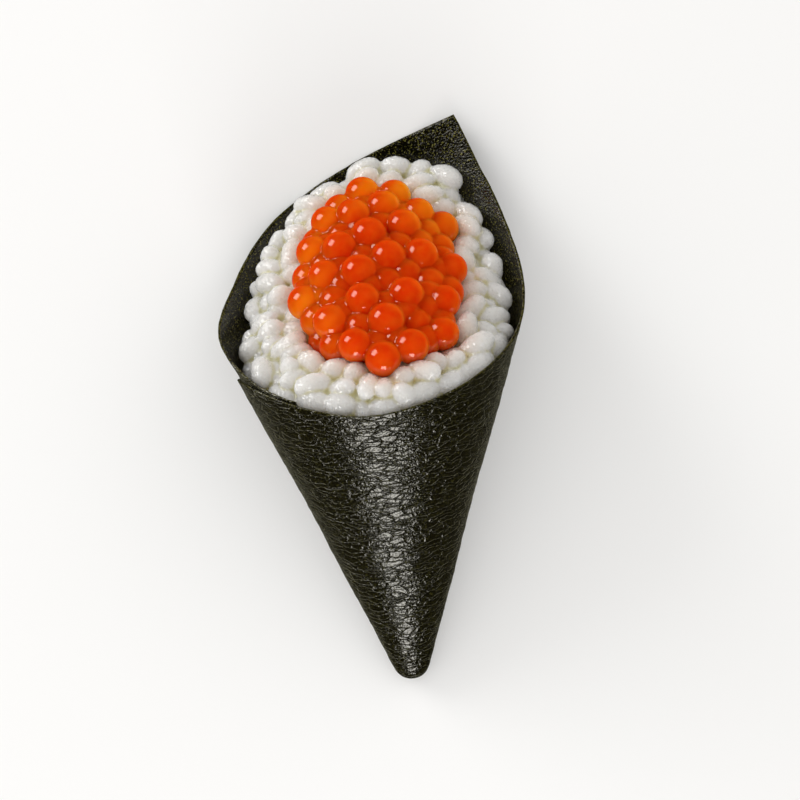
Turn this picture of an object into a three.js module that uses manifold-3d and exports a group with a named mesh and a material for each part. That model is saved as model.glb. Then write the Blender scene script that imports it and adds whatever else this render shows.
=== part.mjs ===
// A temaki hand roll that lies on its side: a sheet of roasted seaweed wound into a cone, packed with
// rice, with a heap of salmon roe at the mouth. Millimetres, +Z up. The pointed end is towards -Y and
// the mouth faces +Y and up. The origin is the middle of the narrow strip of sheet that it rests on.
import * as THREE from "three";
import { mergeVertices } from "three/addons/utils/BufferGeometryUtils.js";
import Module from "manifold-3d";

const wasm = await Module();
wasm.setup();

const { degToRad, lerp, clamp, smoothstep, seededRandom } = THREE.MathUtils;

// ---------------------------------------------------------------- driving dimensions

// The cone, flattened a little by the hand that rolled it
const SIDE_TAPER = degToRad(20.2); // from the cone's axis to its side edge
const TOP_TAPER = degToRad(17.5); // from the axis to the upper edge, and to the floor
const REST_FROM_POINT = 55; // from the sharp point of the cone to the middle of the resting strip
const PRESS_DEPTH = 1.2; // how far the lowest wall is pressed flat
const PRESS_SLOPE = 0.03; // the same near the tip, for each mm along the axis
const WAIST_DEPTH = 0.3; // how far the wall is drawn in between tip and mouth
const WAIST_FROM = 8; // along the axis
const WAIST_TO = 80;
const RIPPLE_DEPTH = 0.1; // gentle waves that run round the wall
const RIPPLE_LENGTH = 33;

// The tip, a blunt dome where the sheet is rolled tight
const TIP_RADIUS = 3.3;
const TIP_RINGS = [0.05, 0.25, 0.6, 1.1, 1.8]; // along the axis, from the very end
const TIP_SHOULDER = 10; // along the axis: the plug in the dome is flush with the sheet up to here
const TIP_PLUG_END = 14;
const TIP_PROUD = 0.02; // the plug covers the sheet's own end by this much

// The sheet, wound from inside the left edge, under the roll, up the right side and over the top.
// Turns are in degrees: 0 at the top, 90 on the left, 180 on the floor, 270 on the right.
const SHEET = 0.4;
const PLY_GAP = 0.15;
const TURN_STEP = 7.5;
const FIRST_TURN = 37.5;
const CORNER_TURN = 210; // where the sheet's corner stands out from the mouth
const LAST_TURN = 480;
const LAP_FROM = 330; // from here the last ply moves outwards, to pass over the first
const LAP_TO = FIRST_TURN + 360;
const LAP_OUTSET = 0.15;
const INSET_FROM = 90; // up to here the first ply lies inwards by the rest of the sheet and the gap
const INSET_TO = 165;
const INSET = SHEET + PLY_GAP - LAP_OUTSET;
const SPRING_FROM = 66; // along the axis: above the lap the first ply springs back outwards
const SPRING_TO = 73;
const SHEET_START = 9; // along the axis
const SHEET_ROWS = 8;

// The free edge of the sheet: [turn, distance along the axis]. It has one sharp corner.
const EDGE_TO_CORNER = [
  [FIRST_TURN, 65.5],
  [55, 67.4],
  [89, 73],
  [122, 78.3],
  [155, 88.8],
  [CORNER_TURN, 102.4],
];
const EDGE_FROM_CORNER = [
  [CORNER_TURN, 102.4],
  [221, 93.3],
  [244, 81.1],
  [280, 71.2],
  [360, 62.7],
  [424, 67.2],
  [450, 66],
  [LAST_TURN, 62],
];

// The rice: its own edge on the wall, below the free edge of the sheet, and the mound between
const RICE_START = 15.5; // along the axis
const RICE_EDGE = [
  [0, 60.8],
  [90, 65.6],
  [120, 70.6],
  [150, 84],
  [180, 93],
  [203, 94.6],
  [222, 85.8],
  [240, 75.2],
  [265, 67.5],
  [300, 65.5],
  [360, 60.8],
];
const RICE_ROWS = 4;
const RICE_RINGS = [0.82, 0.55, 0.25];
const RICE_CROWN = 4.5; // the middle of the mound, above the middle of its edge
const BEND_ACROSS = 36; // radius that the mound bends with, from side to side
const BEND_UPSLOPE = 260; // and from back to front
const GRAIN_LENGTH = 6.4;
const GRAIN_WIDTH = 4;
const GRAIN_STAND = 0.7; // how far a grain's middle stands above the bare mound
const GRAIN_STRAY = 0.4; // how far a grain strays round its ring, as a part of the step to the next
const RING_STRAY = 0.05; // and how far inwards or outwards, as a part of the way out
// Rings of grains, from the wall inwards: [part of the way out, grains in the ring, turn of a grain]
const GRAIN_RINGS = [
  [0.95, 35, 20],
  [0.82, 28, 70],
  [0.69, 24, 90],
];

// The roe, a heap on the rice. Places are measured on the mouth, from its middle: to the right, and up
// its slope towards the top edge of the roll.
const EGG_RADIUS = 3.05;
const HEAP_CENTRE = [1.3, -5.5];
const HEAP_HALF_WIDTH = 13.5;
const HEAP_HALF_LENGTH = 20.5;
const HEAP_RISE = 2.8; // the middle of the heap, above its edge
const HEAP_RINGS = [0.92, 0.7, 0.4];
const EGG_LEVEL = 2.75; // a top egg's middle, above the heap's own rise
const DEEP_EGG_LEVEL = 0.9; // the middle of an egg in the layer under it
const DEEP_EGG_STEP = 5.2; // between the places of that layer
const DEEP_EGG_CLEAR = 3.4; // from the place of any top egg
const BARE_LEVEL = 1.5; // the bare heap between the eggs
const HEAP_SIDES = 24;
const HEAP_DEPTH = 15; // down to well inside the rice
const EGG_ROWS = [
  [[0.5, -24.5], [6, -23.5]],
  [[-6.2, -18.4], [-1.6, -18.4], [3.8, -20], [9.8, -19], [13.7, -17]],
  [[-9.3, -12.2], [-4.5, -10.7], [0.8, -12.8], [7, -15]],
  [[-7.6, -5.4], [-1.6, -4.4], [3.7, -7.1], [9.3, -7.9], [14.3, -6.6]],
  [[-11.5, -2.1], [-1.5, 1.7], [6, 1.1], [12.3, 1.5]],
  [[-7.4, 4.4], [2.1, 6.5], [11.4, 7.8]],
  [[-3.6, 10.2], [0.8, 13.5], [5.8, 11.4]],
];

const TOUCH_GAP = 0.3; // between one node and the next
const SLIVER = 0.02; // the cuts leave no facets thinner than this
const SEED = 7;

// ---------------------------------------------------------------- small tools

/** Value at x of the smooth curve through points [x, y], which are sorted by x. */
function through(points, x) {
  const last = points.length - 1;
  let i = 0;
  while (i < last - 1 && x > points[i + 1][0]) {
    i += 1;
  }
  const slope = (a, b) => (points[b][1] - points[a][1]) / (points[b][0] - points[a][0]);
  const startSlope = i > 0 ? slope(i - 1, i + 1) : slope(i, i + 1);
  const endSlope = i < last - 1 ? slope(i, i + 2) : slope(i, i + 1);
  const width = points[i + 1][0] - points[i][0];
  const u = clamp((x - points[i][0]) / width, 0, 1);
  const rise = u * u * (3 - 2 * u);
  const leave = u * (1 - u) * (1 - u) * width * startSlope;
  const arrive = u * u * (u - 1) * width * endSlope;
  return lerp(points[i][1], points[i + 1][1], rise) + leave + arrive;
}

/** The turns of one full round that starts after the given turn. */
function fullRound(after) {
  const count = 360 / TURN_STEP;
  return Array.from({ length: count }, (_, i) => after + TURN_STEP * (i + 1));
}

/** A closed solid from rings of equal length, with a point at each end. */
function ringSolid(start, rings, end) {
  const size = rings[0].length;
  const points = [start, ...rings.flat(), end];
  const triangles = [];
  const at = (ring, i) => 1 + ring * size + (i % size);
  for (let i = 0; i < size; i += 1) {
    triangles.push(0, at(0, i), at(0, i + 1));
    for (let ring = 0; ring < rings.length - 1; ring += 1) {
      triangles.push(at(ring, i), at(ring + 1, i + 1), at(ring, i + 1));
      triangles.push(at(ring, i), at(ring + 1, i), at(ring + 1, i + 1));
    }
    triangles.push(points.length - 1, at(rings.length - 1, i + 1), at(rings.length - 1, i));
  }
  return solidOf(points, triangles);
}

/** A closed thin solid between two faces, which are grids of points of one size. */
function sheetSolid(outer, inner) {
  const columns = outer.length;
  const rows = outer[0].length;
  const points = [...outer.flat(), ...inner.flat()];
  const top = (i, j) => i * rows + j;
  const under = (i, j) => columns * rows + i * rows + j;
  const triangles = [];
  const quad = (a, b, c, d) => triangles.push(a, c, b, a, d, c);
  for (let i = 0; i < columns - 1; i += 1) {
    for (let j = 0; j < rows - 1; j += 1) {
      triangles.push(top(i, j), top(i + 1, j + 1), top(i + 1, j));
      triangles.push(top(i, j), top(i, j + 1), top(i + 1, j + 1));
      triangles.push(under(i, j), under(i + 1, j), under(i + 1, j + 1));
      triangles.push(under(i, j), under(i + 1, j + 1), under(i, j + 1));
    }
    quad(under(i, 0), under(i + 1, 0), top(i + 1, 0), top(i, 0));
    quad(top(i, rows - 1), top(i + 1, rows - 1), under(i + 1, rows - 1), under(i, rows - 1));
  }
  for (let j = 0; j < rows - 1; j += 1) {
    quad(top(0, j), top(0, j + 1), under(0, j + 1), under(0, j));
    const end = columns - 1;
    quad(under(end, j), under(end, j + 1), top(end, j + 1), top(end, j));
  }
  return solidOf(points, triangles);
}

function solidOf(points, triangles) {
  const mesh = new wasm.Mesh({
    numProp: 3,
    vertProperties: new Float32Array(points.flatMap((p) => [p.x, p.y, p.z])),
    triVerts: new Uint32Array(triangles),
  });
  return new wasm.Manifold(mesh);
}

/** A solid from one of the closed three.js shapes, moved by a matrix. */
function solidFrom(geometry, matrix) {
  const bare = geometry.clone().applyMatrix4(matrix);
  bare.deleteAttribute("normal");
  bare.deleteAttribute("uv");
  const welded = mergeVertices(bare);
  const mesh = new wasm.Mesh({
    numProp: 3,
    vertProperties: new Float32Array(welded.attributes.position.array),
    triVerts: new Uint32Array(welded.index.array),
  });
  return new wasm.Manifold(mesh);
}

/** The largest piece of a solid, without any loose scraps. */
function mainPiece(solid) {
  const pieces = solid.decompose();
  return pieces.reduce((best, piece) => (piece.volume() > best.volume() ? piece : best));
}

function meshOf(name, solid, look) {
  const { vertProperties, triVerts } = solid.getMesh();
  const geometry = new THREE.BufferGeometry();
  geometry.setAttribute("position", new THREE.BufferAttribute(vertProperties, 3));
  geometry.setIndex(new THREE.BufferAttribute(triVerts, 1));
  geometry.computeVertexNormals();
  const mesh = new THREE.Mesh(geometry, new THREE.MeshStandardMaterial(look));
  mesh.name = name;
  return mesh;
}

// ---------------------------------------------------------------- the wall of the cone

/** How far a ply lies outwards where it has turned so far, so that the last one clears the first. */
function plyLift(turn, along) {
  if (turn > CORNER_TURN) {
    return LAP_OUTSET * smoothstep(turn, LAP_FROM, LAP_TO);
  }
  const spring = smoothstep(along, SPRING_FROM, SPRING_TO);
  return -INSET * (1 - smoothstep(turn, INSET_FROM, INSET_TO)) * (1 - spring);
}

/** How far the filling's own wall lies outwards, clear of the innermost ply. */
function roomLift(turn) {
  const entry = smoothstep(turn > CORNER_TURN ? turn : turn + 360, LAP_FROM, LAP_TO);
  const inset = turn > CORNER_TURN ? -INSET : plyLift(turn, 0);
  return inset * entry - TOUCH_GAP;
}

/** The size of the cone's section: as a plain cone, closed by a round dome at the tip. */
function sectionSize(along) {
  const middle = TIP_RADIUS / Math.sin(SIDE_TAPER);
  const shoulder = middle - TIP_RADIUS * Math.sin(SIDE_TAPER);
  if (along >= shoulder) {
    return along;
  }
  const back = middle - along;
  return Math.sqrt(Math.max(TIP_RADIUS ** 2 - back ** 2, 0)) / Math.tan(SIDE_TAPER);
}

/**
 * A point of the wall: how far it has turned, how far it is along the axis, and its lift outwards from
 * the inner face of a single ply. The lowest wall is pressed flat on the floor.
 */
function wallPoint(turn, along, lift) {
  const angle = degToRad(turn);
  const size = sectionSize(along);
  const across = Math.tan(SIDE_TAPER) * size;
  const upward = Math.tan(TOP_TAPER) * size;
  const onWaist = clamp((along - WAIST_FROM) / (WAIST_TO - WAIST_FROM), 0, 1);
  const waist = WAIST_DEPTH * Math.sin(Math.PI * onWaist);
  const wave = Math.sin((2 * Math.PI * along) / RIPPLE_LENGTH + 2 * angle);
  const ripple = RIPPLE_DEPTH * wave * smoothstep(along, TIP_PLUG_END, 2 * TIP_PLUG_END);
  const domed = Math.min(size / along, 1);
  const offset = ((lift - SHEET) / Math.cos(SIDE_TAPER)) * domed - waist + ripple;
  const steep = Math.hypot(upward * Math.sin(angle), across * Math.cos(angle)) || 1;
  const x = -Math.sin(angle) * (across + (offset * upward) / steep);
  const rise = Math.cos(angle) * (upward + (offset * across) / steep);
  const pressed = Math.min(PRESS_DEPTH, PRESS_SLOPE * along);
  const y = along * Math.cos(TOP_TAPER) - rise * Math.sin(TOP_TAPER) - REST_FROM_POINT;
  const z = along * Math.sin(TOP_TAPER) + rise * Math.cos(TOP_TAPER) - pressed;
  const floor = Math.max(SHEET - lift, 0);
  return new THREE.Vector3(x, y, Math.max(z, floor));
}

/** A point on the cone's own axis. */
function axisPoint(along) {
  const top = wallPoint(0, along, 0);
  const bottom = wallPoint(180, along, 0);
  return top.add(bottom).multiplyScalar(0.5);
}

function sheetEdge(turn) {
  return through(turn <= CORNER_TURN ? EDGE_TO_CORNER : EDGE_FROM_CORNER, turn);
}

/** The seaweed sheet: one and a quarter turns, with a solid tip where it is rolled tight. */
function makeNori() {
  const turns = [];
  for (let turn = FIRST_TURN; turn <= LAST_TURN; turn += TURN_STEP) {
    turns.push(turn);
  }
  const rows = Array.from({ length: SHEET_ROWS + 1 }, (_, row) => row / SHEET_ROWS);
  const point = (turn, part, thickness) => {
    const along = lerp(SHEET_START, sheetEdge(turn), part);
    return wallPoint(turn, along, plyLift(turn, along) + thickness);
  };
  const face = (thickness) => turns.map((turn) => rows.map((part) => point(turn, part, thickness)));
  const sheet = sheetSolid(face(SHEET), face(0));
  return mainPiece(sheet.add(makeTip()));
}

/** The plug that fills the tip, flush with the sheet's outer face. */
function makeTip() {
  const nose = TIP_RADIUS / Math.sin(SIDE_TAPER) - TIP_RADIUS;
  const outside = fullRound(LAST_TURN - 360);
  const places = [...TIP_RINGS.map((step) => nose + step), SHEET_START, TIP_SHOULDER];
  const lift = (turn, along) => plyLift(turn, along) + SHEET + TIP_PROUD;
  const rings = places.map((along) => outside.map((turn) => wallPoint(turn, along, lift(turn, along))));
  return ringSolid(axisPoint(nose), rings, axisPoint(TIP_PLUG_END));
}

// ---------------------------------------------------------------- the mouth and its rice

const ROUND = fullRound(0);

/** A point where the mound of rice meets the wall. */
function riceRim(turn) {
  return wallPoint(turn, through(RICE_EDGE, turn), roomLift(turn));
}

const MOUTH_CENTRE = ROUND.reduce((sum, turn) => sum.add(riceRim(turn)), new THREE.Vector3());
MOUTH_CENTRE.divideScalar(ROUND.length);
const ACROSS = new THREE.Vector3(1, 0, 0);
const UPSLOPE = riceRim(360).sub(riceRim(180)).setX(0).normalize();
const OUT = new THREE.Vector3().crossVectors(UPSLOPE, ACROSS); // straight out of the mouth

/** A place on the mouth, as a point. */
function onMouth(across, upslope, level) {
  const point = MOUTH_CENTRE.clone().addScaledVector(ACROSS, across);
  return point.addScaledVector(UPSLOPE, upslope).addScaledVector(OUT, level);
}

/** The height of the rice mound over the mouth's middle. */
function moundLevel(across, upslope) {
  return RICE_CROWN - across ** 2 / (2 * BEND_ACROSS) - upslope ** 2 / (2 * BEND_UPSLOPE);
}

/** A point of the mound: part of the way from its middle to the wall, which it meets all round. */
function moundPoint(turn, out, raise = 0) {
  const side = riceRim(turn).sub(MOUTH_CENTRE);
  const across = side.dot(ACROSS);
  const upslope = side.dot(UPSLOPE);
  const meet = side.dot(OUT) - moundLevel(across, upslope);
  const level = moundLevel(across * out, upslope * out) + meet * out ** 4;
  return onMouth(across * out, upslope * out, level + raise);
}

/** Rings up the wall from the foot of the rice to its edge, or past the edge by some length. */
function wallRings(beyond = 0) {
  const rows = Array.from({ length: RICE_ROWS + 1 }, (_, row) => row / RICE_ROWS);
  const reach = (turn, part) => lerp(RICE_START, through(RICE_EDGE, turn) + beyond, part);
  return rows.map((part) => ROUND.map((turn) => wallPoint(turn, reach(turn, part), roomLift(turn))));
}

/** The bare rice, without grains. Raised, it is the room that what lies on it keeps clear of. */
function riceCore(raise = 0) {
  const mound = RICE_RINGS.map((out) => ROUND.map((turn) => moundPoint(turn, out, raise)));
  return ringSolid(axisPoint(RICE_START), [...wallRings(), ...mound], moundPoint(0, 0, raise));
}

/** The room inside the wrap, carried on past the mound by the length of a grain. */
function roomInWrap() {
  return ringSolid(axisPoint(RICE_START), wallRings(GRAIN_LENGTH), onMouth(0, 0, 3 * GRAIN_LENGTH));
}

const GRAIN_SHAPE = new THREE.SphereGeometry(0.5, 5, 4);

/** One grain on the mound, turned away from the line of the wall by an angle. */
function makeGrain(turn, out, angle) {
  const round = moundPoint(turn + TURN_STEP, out).sub(moundPoint(turn - TURN_STEP, out)).normalize();
  const inward = moundPoint(turn, out - RING_STRAY).sub(moundPoint(turn, out)).normalize();
  const normal = new THREE.Vector3().crossVectors(inward, round).normalize();
  const axis = round.multiplyScalar(Math.cos(angle)).addScaledVector(inward, Math.sin(angle));
  axis.normalize();
  const side = new THREE.Vector3().crossVectors(axis, normal).normalize();
  const matrix = new THREE.Matrix4().makeBasis(side, axis, side.clone().cross(axis));
  matrix.setPosition(moundPoint(turn, out).addScaledVector(normal, GRAIN_STAND));
  matrix.scale(new THREE.Vector3(GRAIN_WIDTH, GRAIN_LENGTH, GRAIN_WIDTH));
  return solidFrom(GRAIN_SHAPE, matrix);
}

/** Whether a place on the mouth is under the heap of roe, or nearer to it than a margin. */
function underHeap(point, margin) {
  const side = point.clone().sub(MOUTH_CENTRE);
  const x = (side.dot(ACROSS) - HEAP_CENTRE[0]) / (HEAP_HALF_WIDTH + margin);
  const y = (side.dot(UPSLOPE) - HEAP_CENTRE[1]) / (HEAP_HALF_LENGTH + margin);
  return x * x + y * y < 1;
}

/** The grains that show round the heap, spread in rings with a seeded draw. */
function makeGrains() {
  seededRandom(SEED);
  const grains = [];
  for (const [ringOut, count, spread] of GRAIN_RINGS) {
    for (let i = 0; i < count; i += 1) {
      const turn = (360 * (i + GRAIN_STRAY * (seededRandom() - 0.5))) / count;
      const out = ringOut + RING_STRAY * (seededRandom() - 0.5);
      const angle = degToRad(spread * (2 * seededRandom() - 1));
      if (!underHeap(moundPoint(turn, out), EGG_RADIUS)) {
        grains.push(makeGrain(turn, out, angle));
      }
    }
  }
  return wasm.Manifold.union(grains);
}

// ---------------------------------------------------------------- the heap of roe

/** How high the heap stands on the rice at a place on the mouth, apart from its eggs. */
function heapRise(across, upslope) {
  const x = (across - HEAP_CENTRE[0]) / HEAP_HALF_WIDTH;
  const y = (upslope - HEAP_CENTRE[1]) / HEAP_HALF_LENGTH;
  return HEAP_RISE * Math.sqrt(Math.max(1 - x * x - y * y, 0));
}

/** The bare heap, down to well inside the rice, so that it can be cut to lie on it. */
function heapCore(grow) {
  const point = (i, out, drop) => {
    const angle = (2 * Math.PI * i) / HEAP_SIDES;
    const across = HEAP_CENTRE[0] + HEAP_HALF_WIDTH * out * Math.cos(angle);
    const upslope = HEAP_CENTRE[1] + HEAP_HALF_LENGTH * out * Math.sin(angle);
    const level = moundLevel(across, upslope) + heapRise(across, upslope) + BARE_LEVEL + grow;
    return onMouth(across, upslope, level - drop);
  };
  const ring = (out, drop) => Array.from({ length: HEAP_SIDES }, (_, i) => point(i, out, drop));
  const rings = [ring(HEAP_RINGS[0], HEAP_DEPTH), ...HEAP_RINGS.map((out) => ring(out, 0))];
  return ringSolid(point(0, 0, HEAP_DEPTH), rings, point(0, 0, 0));
}

/** The places in the layer below that no top egg covers, on a staggered grid. */
function deepEggPlaces() {
  const rows = Math.ceil(HEAP_HALF_LENGTH / DEEP_EGG_STEP);
  const columns = Math.ceil(HEAP_HALF_WIDTH / DEEP_EGG_STEP);
  const places = [];
  for (let row = -rows; row <= rows; row += 1) {
    for (let column = -columns; column <= columns; column += 1) {
      const across = HEAP_CENTRE[0] + DEEP_EGG_STEP * (column + (row % 2) / 2);
      const upslope = HEAP_CENTRE[1] + DEEP_EGG_STEP * row;
      const distances = EGG_ROWS.flat().map(([x, y]) => Math.hypot(x - across, y - upslope));
      const covered = Math.min(...distances) < DEEP_EGG_CLEAR;
      if (!covered && underHeap(onMouth(across, upslope, 0), -EGG_RADIUS / 2)) {
        places.push([across, upslope]);
      }
    }
  }
  return places;
}

/** The heap with its eggs fused on, grown by a gap where other things keep clear of it. */
function makeHeap(grow = 0) {
  const eggShape = new THREE.IcosahedronGeometry(EGG_RADIUS + grow, 1);
  const eggAt = (stand) => ([across, upslope]) => {
    const level = moundLevel(across, upslope) + heapRise(across, upslope) + stand;
    return solidFrom(eggShape, new THREE.Matrix4().setPosition(onMouth(across, upslope, level)));
  };
  const topEggs = EGG_ROWS.flat().map(eggAt(EGG_LEVEL));
  const deepEggs = deepEggPlaces().map(eggAt(DEEP_EGG_LEVEL));
  return wasm.Manifold.union([heapCore(grow), ...topEggs, ...deepEggs]);
}

function makeRoe() {
  return mainPiece(makeHeap().subtract(riceCore(TOUCH_GAP))).simplify(SLIVER);
}

function makeRice() {
  const grains = makeGrains().intersect(roomInWrap()).subtract(makeHeap(TOUCH_GAP));
  return mainPiece(riceCore().add(grains)).simplify(SLIVER);
}

const roll = new THREE.Group();
roll.add(meshOf("nori", makeNori(), { color: 0x23261b, roughness: 0.45, metalness: 0 }));
roll.add(meshOf("rice", makeRice(), { color: 0xece8df, roughness: 0.5, metalness: 0 }));
roll.add(meshOf("roe", makeRoe(), { color: 0xd9480a, roughness: 0.3, metalness: 0 }));
export default roll;
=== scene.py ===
# %% [markdown]
# # A salmon roe hand roll
#
# A temaki is a sheet of roasted seaweed wound into a cone by hand, packed with warm rice and finished
# with a heap of salmon roe. It can't stand, so it lies on its side. Three foods give three very
# different surfaces: the leathery wrinkled sheet, the moist rice and the clear wet eggs.
#
# The CAD model is loaded first. It is the frame: it fixes the sizes and the place of everything below.

import math

import bpy
import numpy as np
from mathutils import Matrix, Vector, noise


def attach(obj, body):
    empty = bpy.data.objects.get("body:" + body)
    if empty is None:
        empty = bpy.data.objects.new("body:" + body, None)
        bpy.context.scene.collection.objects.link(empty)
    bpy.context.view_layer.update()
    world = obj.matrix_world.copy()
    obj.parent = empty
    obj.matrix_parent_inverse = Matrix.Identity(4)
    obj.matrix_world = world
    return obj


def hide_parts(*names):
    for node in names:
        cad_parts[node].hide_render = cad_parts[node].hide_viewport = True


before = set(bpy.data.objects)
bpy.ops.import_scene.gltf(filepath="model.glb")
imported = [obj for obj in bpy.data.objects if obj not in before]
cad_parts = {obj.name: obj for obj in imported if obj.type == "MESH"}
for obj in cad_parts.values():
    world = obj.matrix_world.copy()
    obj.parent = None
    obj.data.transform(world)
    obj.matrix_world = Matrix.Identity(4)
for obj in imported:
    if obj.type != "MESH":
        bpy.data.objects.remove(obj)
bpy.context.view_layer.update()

# %% [markdown]
# ## The wall of the cone
#
# Everything hangs on one surface: a cone that the hand has flattened a little, which lies on its lowest
# line and is pressed flat there. A place on it has three numbers: how far round the sheet has turned
# (0 degrees at the top, 90 on the left, 180 on the floor, 270 on the right), how far it is along the
# cone's axis, and how far it is lifted off the inner face of the sheet. A function of those three gives
# both faces of the sheet, the wall that the rice fills and the round tip, so nothing has to be fitted by
# eye.

# %% The wall of the cone
SIDE_TAPER = math.radians(20.2)  # from the axis to the side edge
TOP_TAPER = math.radians(17.5)  # from the axis to the upper edge, and to the floor
REST_FROM_POINT = 55
PRESS_DEPTH, PRESS_SLOPE = 1.2, 0.03  # how deep the strip is pressed at most, and for each mm of length
WAIST_DEPTH, WAIST_FROM, WAIST_TO = 0.3, 8, 80  # the hand's grip draws the wrap in a little
RIPPLE_DEPTH, RIPPLE_LENGTH = 0.1, 33  # long soft waves
RIPPLE_FROM, RIPPLE_FULL = 14, 28  # along the axis: the tip has none
TIP_RADIUS = 3.3
TIP_CENTRE = TIP_RADIUS / math.sin(SIDE_TAPER)  # along the axis, the middle of the tip's dome
TIP_SHOULDER = TIP_CENTRE - TIP_RADIUS * math.sin(SIDE_TAPER)
SHEET = 0.4  # thickness
TINY = 1e-9  # stands in for a length of 0 where something is divided by it


def ramp(x, start, end):
    """0 before start, 1 after end, and a soft step between."""
    u = np.clip((x - start) / (end - start), 0, 1)
    return u * u * (3 - 2 * u)


def section_size(along):
    """The size of the cone's section: a plain cone, closed by a round dome at the tip."""
    dome = np.sqrt(np.maximum(TIP_RADIUS**2 - (TIP_CENTRE - along) ** 2, 0)) / math.tan(SIDE_TAPER)
    return np.where(along >= TIP_SHOULDER, along, dome)


def wall(turn, along, lift):
    """Points of the wall in millimetres, as rows of x, y, z."""
    turn, along, lift = np.broadcast_arrays(*(np.asarray(a, float) for a in (turn, along, lift)))
    angle = np.radians(turn)
    size = section_size(along)
    across, upward = math.tan(SIDE_TAPER) * size, math.tan(TOP_TAPER) * size
    waist = WAIST_DEPTH * np.sin(math.pi * np.clip((along - WAIST_FROM) / (WAIST_TO - WAIST_FROM), 0, 1))
    ripple = RIPPLE_DEPTH * np.sin(2 * math.pi * along / RIPPLE_LENGTH + 2 * angle)
    ripple = ripple * ramp(along, RIPPLE_FROM, RIPPLE_FULL)
    offset = (lift - SHEET) / math.cos(SIDE_TAPER) * np.minimum(size / along, 1) - waist + ripple
    steep = np.maximum(np.hypot(upward * np.sin(angle), across * np.cos(angle)), TINY)
    x = -np.sin(angle) * (across + offset * upward / steep)
    rise = np.cos(angle) * (upward + offset * across / steep)
    y = along * math.cos(TOP_TAPER) - rise * math.sin(TOP_TAPER) - REST_FROM_POINT
    z = along * math.sin(TOP_TAPER) + rise * math.cos(TOP_TAPER)
    z = np.maximum(z - np.minimum(PRESS_DEPTH, PRESS_SLOPE * along), np.maximum(SHEET - lift, 0))
    return np.stack([x, y, z], -1)


tip_point = wall(0, TIP_CENTRE - TIP_RADIUS, SHEET)
print("the cone's tip, mm:", tip_point.round(2))

# %% [markdown]
# ## Plies that clear each other
#
# The sheet goes round one and a quarter times, so in front one ply lies on the other. They can't lie in
# the same place: the ply that starts inside is set inwards and the one that ends outside is set a little
# outwards, so that a thin gap is left between them. Past the rice, the free edge of the inner ply springs
# back out. The rice keeps clear of the innermost ply all round.

# %% Plies that clear each other
PLY_GAP = 0.15
FIRST_TURN, CORNER_TURN, LAST_TURN = 37.5, 210, 480  # degrees: where the sheet starts, its corner, its end
LAP_FROM, LAP_TO = 330, FIRST_TURN + 360
LAP_OUTSET = 0.15
INSET_FROM, INSET_TO = 90, 165
INSET = SHEET + PLY_GAP - LAP_OUTSET
SPRING_FROM, SPRING_TO = 66, 73
TOUCH_GAP = 0.3  # between the sheet and the wall of the filling


def ply_lift(turn, along):
    """How far a ply lies outwards where it has turned so far, so that the last one clears the first."""
    inner = -INSET * (1 - ramp(turn, INSET_FROM, INSET_TO)) * (1 - ramp(along, SPRING_FROM, SPRING_TO))
    return np.where(turn > CORNER_TURN, LAP_OUTSET * ramp(turn, LAP_FROM, LAP_TO), inner)


def room_lift(turn):
    """How far the wall of the filling lies outwards, clear of the innermost ply."""
    entry = ramp(np.where(turn > CORNER_TURN, turn, turn + 360), LAP_FROM, LAP_TO)
    return np.where(turn > CORNER_TURN, -INSET, ply_lift(turn, 0)) * entry - TOUCH_GAP


print("from the inner face of one ply to that of the next, mm:", round(LAP_OUTSET + INSET, 2))

# %% [markdown]
# ## The free edge
#
# The free edge dips at the front, where it is a plain curve, and runs out to one sharp corner of the
# square sheet at the back. A few points with a smooth curve through them are enough for that. One curve
# ends at the corner and another starts there, so that the corner stays sharp. Each point holds how far
# the sheet has turned there and how far along the axis its edge is.

# %% The free edge
EDGE_TO_CORNER = [(FIRST_TURN, 65.5), (55, 67.4), (89, 73), (122, 78.3), (155, 88.8), (CORNER_TURN, 102.4)]
EDGE_FROM_CORNER = [(CORNER_TURN, 102.4), (221, 93.3), (244, 81.1), (280, 71.2), (360, 62.7),
                    (424, 67.2), (450, 66), (LAST_TURN, 62)]


def through(points, x):
    """Values at x of the smooth curve through points (x, y), which are sorted by x."""
    px, py = np.array(points, float).T
    slopes = np.concatenate([np.diff(py[:2]) / np.diff(px[:2]),
                             (py[2:] - py[:-2]) / (px[2:] - px[:-2]),
                             np.diff(py[-2:]) / np.diff(px[-2:])])
    i = np.clip(np.searchsorted(px, x) - 1, 0, len(px) - 2)
    width = px[i + 1] - px[i]
    u = np.clip((x - px[i]) / width, 0, 1)
    bend = u * (1 - u) ** 2 * slopes[i] + u * u * (u - 1) * slopes[i + 1]
    return py[i] + (py[i + 1] - py[i]) * u * u * (3 - 2 * u) + width * bend


def sheet_edge(turn):
    """How far along the axis the free edge is, where the sheet has turned so far."""
    return np.where(turn <= CORNER_TURN, through(EDGE_TO_CORNER, turn), through(EDGE_FROM_CORNER, turn))


print("the corner of the sheet lies", EDGE_TO_CORNER[-1][1], "mm along the axis")

# %% [markdown]
# ## The seaweed sheet
#
# The mesh is a grid: one way round and one way up to the free edge, for both faces, closed along its
# edges and drawn together at the tip. The rows are closer than the columns, because the wrinkles of a
# moist sheet run round the cone. Lengths are written in millimetres, as a cook would measure them, and
# Blender wants metres, so a mesh is scaled once, when it is made. Each vertex keeps how far it is from
# the free edge and whether it is inside, for the material.

# %% The seaweed sheet
MM = 0.001
DOME_ROWS, BODY_ROWS = 8, 190
INNER_COLUMNS, OUTER_COLUMNS = 92, 142  # before and after the corner


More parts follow.
